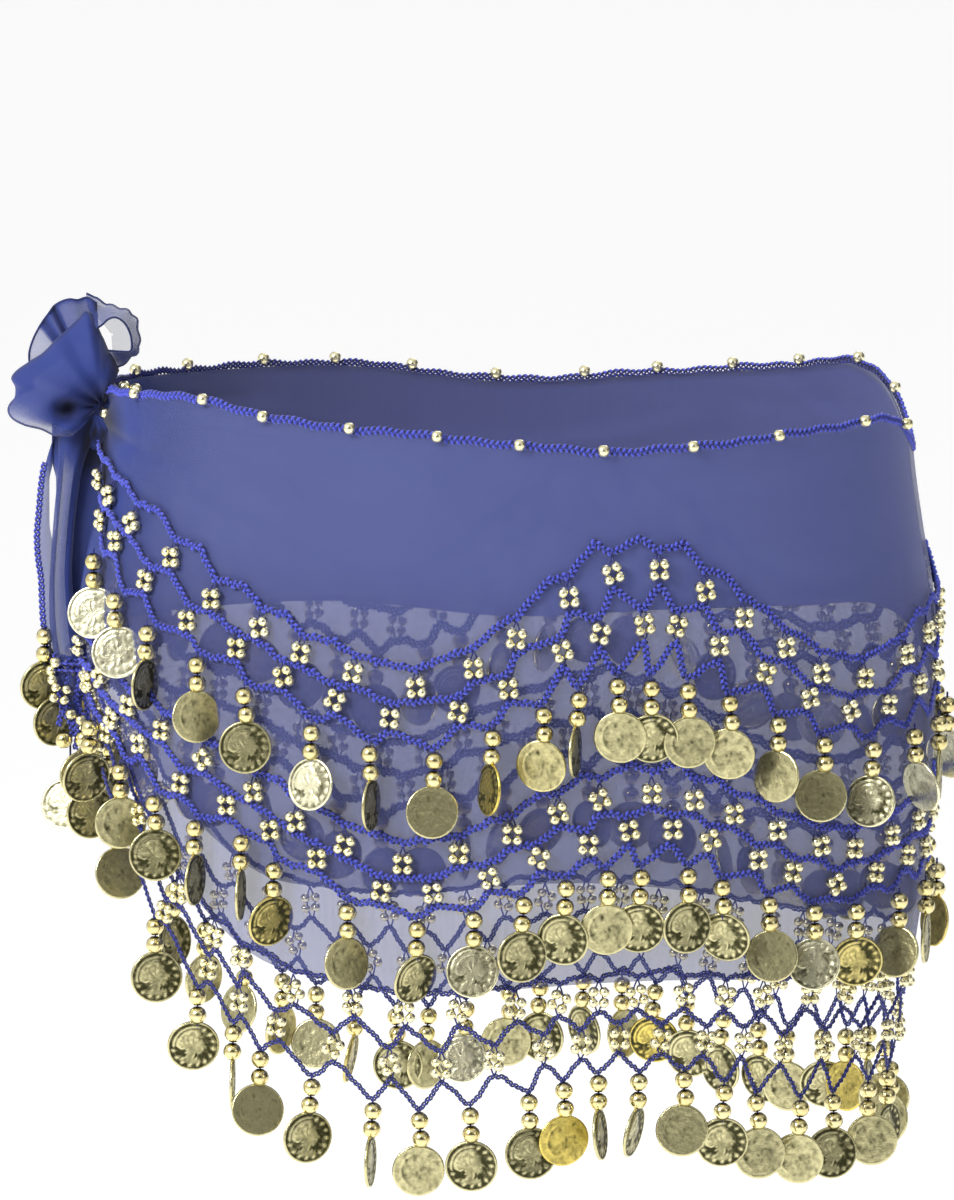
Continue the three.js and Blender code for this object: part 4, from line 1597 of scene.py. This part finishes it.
@dataclass
class Bow:
    """The loose bow of cloth above the knot: a domed front lobe, a ruffled back flare and a loop."""

    finish: bpy.types.Material
    centre: tuple[float, float] = (-163, 4)
    thickness: float = 0.4
    veil_thickness: float = 0.25
    hem: float = 0.45

    def spread(self, angle: Array, reach: Array, depth: Array) -> Array:
        """Points at an angle and a reach from the bow's middle in its upright plane, and a depth.

        Args:
            angle: Angle from +X towards +Z, in degrees.
            reach: Distance from the middle.
            depth: Place along Y.

        Returns:
            The points, with the three arrays broadcast together.
        """
        turn = np.radians(angle)
        x, z = self.centre
        flat = np.broadcast_arrays(x + reach * np.cos(turn), depth, z + reach * np.sin(turn))
        return np.stack(flat, axis=-1)

    def lobe(self) -> None:
        """Makes the front lobe.

        Each radius is an arc: its reach is the sine and its nearness the cosine of an angle that runs
        from the pinched middle over the dome and round the rolled rim. A pit sinks in above the knot.
        """
        angle = np.linspace(BOW_LOBE[0]["angle"], BOW_LOBE[-1]["angle"], 120)[:, None]
        outline = along(BOW_LOBE, "angle", "reach", angle)
        rim = 92 + 36 * smoothstep(angle, 84, 100) * (1 - smoothstep(angle, 166, 178))
        bend = np.radians(4 + (rim - 4) * np.linspace(0, 1, 44)[None])
        share = np.sin(bend)
        reach = outline * share
        near = np.cos(bend) * 14 + 2.0
        pinch = 1 - np.exp(-((reach / 10) ** 2))
        pleats = 1.1 * np.cos(np.radians(angle * 9)) * np.exp(-((reach / 17) ** 2))
        ridge = 2.0 * np.exp(-(((angle - 128) / 9) ** 2))
        valley = 1.8 * np.exp(-(((angle - 112) / 7) ** 2))
        pleats += ridge * share**2 - valley * share**2
        ruffle = 1.7 * np.cos(np.radians(angle * 17)) * smoothstep(angle, 168, 184) * share**4
        pit_angle, pit_reach, pit_size = 181, 14.5, 5.0
        off_pit = (np.radians(angle - pit_angle) * reach) ** 2 + (reach - pit_reach) ** 2
        pit = np.exp(-off_pit / pit_size**2)
        depth = -9 - near * pinch - pleats - ruffle + 8 * pit
        points = self.spread(angle, reach, depth)
        # Tone: painted shade in the pit, the pinched middle, the right end and the rim; the frill thins.
        tone = np.full(reach.shape, 0.80)
        tone -= 0.22 * smoothstep(angle, 172, 194) * smoothstep(share, 0.6, 0.95)
        tone += 0.12 * (1 - smoothstep(angle, 70, 96)) + 0.20 * pit
        tone += 0.16 * np.exp(-((reach / 9) ** 2))
        tone += 0.10 * smoothstep(share, 0.93, 1.0) * (1 - smoothstep(angle, 160, 170))
        parts = Parts()
        uv = np.stack(np.broadcast_arrays(reach, np.radians(angle) * 25), axis=-1)
        parts.shell(points, self.thickness, uv, np.clip(tone, 0, 1))
        self.roll(parts, points[:, -1])
        finish_piece(parts.build("bow_lobe", self.finish), "chiffon", "bow_front")

    def flare(self) -> None:
        """Makes the flare behind the lobe: a fan with two valleys, drawn out thin at its left."""
        angle = np.linspace(BOW_FLARE[0]["angle"], BOW_FLARE[-1]["angle"], 90)[:, None]
        outline = along(BOW_FLARE, "angle", "reach", angle)
        share = np.linspace(0.25, 1, 26)[None]
        sharp = np.exp(-(((angle - 116.5) / 1.9) ** 2))
        wide = np.exp(-(((angle - 124.5) / 3.4) ** 2))
        waves = 3.0 * sharp + 2.6 * wide + 0.9 * np.cos(np.radians(angle * 22))
        depth = -7 - 4.5 * np.sin(np.pi * share * 0.9) + waves * share
        points = self.spread(angle, outline * share, depth)
        # Tone: thin at the left; painted shade in the two valleys, along the rim and at the right end.
        tone = 0.74 - 0.35 * smoothstep(angle, 126, 134) + 0.2 * sharp + 0.17 * wide
        tone = tone + 0.08 * smoothstep(share, 0.95, 1.0) + 0.25 * (1 - smoothstep(angle, 93, 98))
        parts = Parts()
        uv = np.stack(np.broadcast_arrays(outline * share, np.radians(angle) * 30), axis=-1)
        parts.shell(points, self.thickness, uv, np.clip(tone, 0, 1))
        self.roll(parts, points[:, -1])
        finish_piece(parts.build("bow_flare", self.finish), "chiffon", "bow_back")

    def loop(self) -> None:
        """Makes the loop that stands open to the front, with a single thin layer across it."""
        step = np.linspace(0, 9, 64)
        front, far = (
            np.stack([along(BOW_LOOP, "step", x, step), np.full(64, y),
                      along(BOW_LOOP, "step", z, step)], -1)
            for x, y, z in (("x", -17.0, "z"), ("far_x", 1.0, "far_z"))
        )
        share = np.linspace(0, 1, 12)[None, :, None]
        middle = np.array([-158.0, 0.0, 33.0])
        away = unit((front - middle) * np.array([1.0, 0.0, 1.0]))[:, None]
        points = front[:, None] * (1 - share) + far[:, None] * share + away * 1.3 * np.sin(np.pi * share)
        crimp = 0.5 * np.cos(step * 5.2)[:, None, None] * share
        points = points + away * crimp
        # Tone: darker near step 7.6, the loop's lower right, where it takes painted shade.
        tone = 0.66 + 0.24 * np.exp(-(((step - 7.6) / 1.1) ** 2))[:, None]
        uv = np.stack(np.broadcast_arrays(share[..., 0] * 18, step[:, None] * 6), axis=-1)
        parts = Parts()
        parts.shell(points, self.thickness, uv, tone)
        self.roll(parts, points[:, 0])
        self.roll(parts, points[:, -1])
        finish_piece(parts.build("bow_ring", self.finish), "chiffon", "bow_loop")
        veil = Parts()
        inner = points[:, 7]
        heart = np.array([-159.5, -5.0, 32.5])
        rays = np.linspace(0.05, 1, 10)[None, :, None]
        sheet = heart + (inner[:, None] - heart) * rays
        sheet = sheet + np.array([0.0, 1.0, 0.0]) * (0.8 * np.sin(rays * 6 + step[:, None, None]))
        uv = np.stack(np.broadcast_arrays(rays[..., 0] * 9, step[:, None] * 5), -1)
        veil.shell(sheet, self.veil_thickness, uv, 0.05)
        finish_piece(veil.build("bow_veil", self.finish), "chiffon")

    def roll(self, parts: Parts, edge: Array) -> None:
        """Adds the rolled hem along a free edge."""
        path = resample(edge, 1.2)
        # The rolled hem is dense, and its tone of 0.93 adds painted shade.
        thread(parts, path, self.hem, np.array([0.0, 1.0, 0.15]), 0.93)

    def build(self) -> None:
        """Makes the lobe, the flare and the loop."""
        self.lobe()
        self.flare()
        self.loop()


@dataclass
class Tail:
    """The strip's rolled end that hangs from the knot, its edged flap, and its bit of net and coins."""

    finish: bpy.types.Material
    trims: Trims
    thickness: float = 0.4

    def roll(self) -> None:
        """Makes the roll: flattened ridged rings about its middle line, pressed to a stitched line."""
        z = np.linspace(-122, 0, 96)[:, None]
        half = along(TAIL_ROLL, "z", "half", z)
        turn = np.linspace(0, 2 * np.pi, 40, endpoint=False)[None]
        ridge = 1 + 0.04 * np.cos(3 * turn + z / 17) + 0.03 * np.cos(7 * turn - z / 11)
        groove = 0.16 * np.exp(-(((turn - 4.35) / 0.16) ** 2)) * smoothstep(-z, 18, 30)
        reach = half * (ridge - groove)
        x = along(TAIL_ROLL, "z", "x", z) + reach * np.cos(turn)
        y = -5.5 + 0.82 * reach * np.sin(turn)
        points = np.stack(np.broadcast_arrays(x, y, z), axis=-1)
        # Painted shade: darker under the knot and down the right side; a lighter strip runs beside the
        # stitched line.
        tone = 0.76 + 0.20 * (1 - smoothstep(-z, 6, 26)) + 0.10 * smoothstep(np.cos(turn), 0.25, 0.9)
        tone = np.clip(tone - 0.13 * np.exp(-(((turn - 4.1) / 0.5) ** 2)), 0, 1)
        quads = grid_quads(96, 40, wrap=True)
        caps = [np.arange(40)[None], (95 * 40 + np.arange(40))[::-1][None]]
        if signed_volume(points, quads) < 0:
            quads, caps = quads[:, ::-1], [cap[:, ::-1] for cap in caps]
        parts = Parts()
        uv = np.stack(np.broadcast_arrays(z, turn * 5), axis=-1)
        parts.add(points, quads, uv, tone)
        parts.faces.extend(caps)
        flap = self.flap(parts)
        finish_piece(parts.build("tail_roll", self.finish), "chiffon", "tail")
        cord = Parts()
        path = flap[12:, 0] + np.array([-0.6, -0.6, 0.0])
        CHAIN.lay(cord, path, np.array([0.0, -1.0, 0.0]), 0.85)
        finish_piece(cord.build("tail_cord", self.trims.yarn), "crochet", "edging_tail")

    def flap(self, parts: Parts) -> Array:
        """Adds the sheer flap between the roll and the edged hem, parted by a long slit.

        Args:
            parts: The patches to add to.

        Returns:
            The points of its outer part, down the tail and then across it.
        """
        z = np.linspace(-3, -99, 70)[:, None]
        hem = along(TAIL_HEM, "z", "x", z)
        core = along(TAIL_ROLL, "z", "x", z) - 0.6 * along(TAIL_ROLL, "z", "half", z)
        gap = smoothstep(-z, 19, 27) * (1 - smoothstep(-z, 44, 54))
        left_lip, right_lip = -183.6 - 1.4 * gap, -183.6 + 1.5 * gap
        across = np.linspace(0, 1, 9)[None]
        strips = []
        far = -161.5 - 9.5 * smoothstep(-z, 46, 84)
        inner = along(TAIL_ROLL, "z", "x", z) + 0.3 * along(TAIL_ROLL, "z", "half", z)
        # Painted shade: the strip by the front cloth is dark, and every strip darkens under the knot.
        for start, end, bow, tone in (
            (hem, left_lip, 1.2, 0.68),
            (right_lip, core, 1.6, 0.72),
            (inner, far, -1.0, 0.90),
        ):
            x = start + (end - start) * across
            y = -3.2 - bow * np.sin(np.pi * across) - 1.5 * across + 0.4 * np.sin(z / 6)
            strip = np.stack(np.broadcast_arrays(x, y, z), axis=-1)
            uv = np.stack(np.broadcast_arrays(z, x), axis=-1)
            shade = np.broadcast_to(tone + 0.2 * (1 - smoothstep(-z, 10, 30)), x.shape)
            parts.shell(strip, self.thickness, uv, np.clip(shade, 0, 1))
            strips.append(strip)
        return strips[0]

    def clump(self) -> None:
        """Makes the bunched bit of net below the roll, with its flower and small beads."""
        chance = np.random.default_rng(41)
        cords = Parts()
        starts = ((-183, -7, -97), (-179, -9, -99), (-175, -9, -98), (-172.5, -7, -101), (-181, -4, -98))
        ends = ((-177, -7, -131), (-174.5, -9, -136), (-172, -8, -127), (-170.5, -6, -137), (-180, -6, -127))
        for start, end in zip(starts, ends):
            share = np.linspace(0, 1, 16)[:, None]
            path = np.array(start) * (1 - share) + np.array(end) * share
            sway = chance.uniform(0, 6.28, 2)
            path[:, 0] += 1.5 * np.sin(share[:, 0] * 9 + sway[0])
            path[:, 1] += 1.2 * np.sin(share[:, 0] * 7 + sway[1])
            CHAIN.lay(cords, path, np.array([0.0, -1.0, 0.0]), 0.8)
        wrap = np.linspace(0, 2.5 * 2 * np.pi, 60)
        coil = np.stack([-178 + 5.6 * np.cos(wrap), -6.5 + 4.2 * np.sin(wrap), -99 - wrap * 0.45], axis=-1)
        CHAIN.lay(cords, coil, np.array([0.0, 0.0, 1.0]), 0.7)
        finish_piece(cords.build("tail_net_cords", self.trims.yarn), "crochet", "net_tail")
        beads = Parts()
        outward = np.array([[0.0, -1.0, 0.0]])
        centre = np.array([[-180.8, -8.5, -113.0]])
        self.trims.beads.flower(beads, centre, outward, np.array([12.0]), np.array([0.4]))
        loose = np.array([
            [-184.5, -8, -104], [-182.6, -9.5, -100.5], [-183.8, -9.5, -107.5], [-180.3, -9, -131],
            [-172.5, -10.5, -124], [-171.2, -10, -132.5], [-176.5, -10, -121.5],
        ])
        self.trims.beads.single(beads, loose, 1.12)
        finish_piece(beads.build("tail_net_beads", self.trims.small_gold), "bead")

    def drop(self, name: str, node: str, beads: list[tuple[float, ...]],
             coins: list[tuple[float, ...]]) -> None:
        """Hangs large beads and coins by the tail.

        Args:
            name: End of the pieces' names.
            node: Solid that the coins stand for.
            beads: Place of each bead.
            coins: Top of each coin, its yaw, its roll and its tone.
        """
        balls, discs, threads = Parts(), Parts(), Parts()
        shape, caps, quads, relief = ball(10, 7, 0.5)
        frames = np.repeat(np.eye(3)[None] * self.trims.large_radius, len(beads), axis=0)
        tones = np.linspace(0.2, 0.8, len(beads))
        scatter(balls, shape, [quads, caps], np.array(beads), frames, tones, relief=relief)
        finish_piece(balls.build(f"tail_beads_{name}", self.trims.large_gold), "bead")
        rows = np.array(coins)
        facing = np.repeat(np.array([[0.0, -1.0, 0.0]]), len(rows), axis=0)
        self.trims.coins_at(discs, rows[:, :3], facing, rows[:, 3], rows[:, 4], rows[:, 5])
        finish_piece(discs.build(f"tail_coins_{name}", self.trims.coin_gold), "coin", node)
        for row in rows:
            top = row[:3] + np.array([0.0, 0.0, 15.0])
            path = np.linspace(top, row[:3] - np.array([0, 0, 2.2]), 8)
            thread(threads, path, self.trims.thread_radius, np.array([0.0, -1.0, 0.0]))
        finish_piece(threads.build(f"tail_threads_{name}", self.trims.yarn), "crochet")

    def build(self) -> None:
        """Makes the roll, the flap, the bit of net and the coins."""
        self.roll()
        self.clump()
        self.drop("side", "coins_tail_side", [(-187, -5, -90.5), (-187.2, -5, -97.8)],
                  [(-187.4, -5, -101.0, 24, 4, 0.3), (-181.5, -2, -116.0, 30, -6, 0.2)])
        self.drop("foot", "coins_tail_foot", [(-171.5, -11, -131.5), (-179.5, -10, -132.0)],
                  [(-170.4, -11, -137.0, 200, 6, 0.62), (-177.0, -6.5, -149.5, -22, -8, 0.1)])


@dataclass
class Tie:
    """The knot with the bow above it and the tail below it."""

    finish: bpy.types.Material
    trims: Trims
    knot: tuple[float, float, float] = (-166, 0, 1)
    knot_radii: tuple[float, float, float] = (12, 11, 15)

    def build_knot(self) -> None:
        """Makes the knot: an egg-shaped lump ridged by the twisted cloth that wraps it."""
        around = np.linspace(0, 2 * np.pi, 64, endpoint=False)
        u, v = np.meshgrid(around, np.linspace(0.02, np.pi - 0.02, 40))
        twist = 0.07 * np.cos(5 * v + 2 * u) + 0.035 * np.cos(11 * u - 4 * v)
        reach = 1 + twist * np.sin(v)
        round_part = np.stack([np.sin(v) * np.cos(u), np.cos(v), np.sin(v) * np.sin(u)], axis=-1)
        points = round_part * reach[..., None] * np.array(self.knot_radii) + np.array(self.knot)
        rows, columns = points.shape[:2]
        parts = Parts()
        uv = np.stack([u * 10, v * 10], axis=-1)
        quads = grid_quads(rows, columns, wrap=True)
        if signed_volume(points, quads) < 0:
            quads = quads[:, ::-1]
            caps = [np.arange(columns)[None], (rows - 1) * columns + np.arange(columns)[::-1][None]]
        else:
            caps = [np.arange(columns)[::-1][None], (rows - 1) * columns + np.arange(columns)[None]]
        # Painted shade: dark all over, and darker in the grooves of the twist.
        parts.add(points, quads, uv, np.clip(0.9 - 1.2 * twist, 0, 1))
        parts.faces.extend(caps)
        finish_piece(parts.build("knot_wraps", self.finish), "chiffon", "knot")

    def build(self) -> None:
        """Makes the knot, the bow and the tail."""
        self.build_knot()
        Bow(self.finish).build()
        Tail(self.finish, self.trims).build()


def main() -> None:
    """Builds the scarf."""
    logging.basicConfig(level=logging.INFO, format="%(message)s")
    Studio().build()
    chiffon = Chiffon().make()
    # The band: doubled so it covers more, and darker as painted shade inside the back.
    band = Chiffon("doubled_chiffon_painted_shade", 0.78, (0.060, 0.072, 0.215), (0.050, 0.060, 0.195)).make()
    trims = Trims(
        yarn=Yarn().make(),
        # Painted light: a brighter copy of the yarn for the back nets, which hang in shade.
        back_yarn_painted_light=Yarn("crochet_yarn_back_painted_light", (0.006, 0.014, 0.15), (0.09, 0.14, 0.86)).make(),
        small_gold=GoldBead("seed_bead", (0.95, 0.90, 0.64), (0.80, 0.72, 0.40), 0.2).make(),
        large_gold=GoldBead("large_bead", (0.86, 0.77, 0.42), (0.70, 0.59, 0.26), 0.13).make(),
        coin_gold=StampedCoin().make(),
    )
    Strip(chiffon, band).build()
    form = FORM_OF_HIPS
    spans = {"front": (form.front_end + 1, form.side), "back": (form.side, form.back_end - 1)}
    for side, (start, end) in spans.items():
        for tier, scale in enumerate(CORD_SCALES[side], start=1):
            NetTier(tier, side, start, end, trims, cord_scale=scale).build()
    TopEdging(trims).build()
    Tie(chiffon, trims).build()


if __name__ == "__main__":
    main()
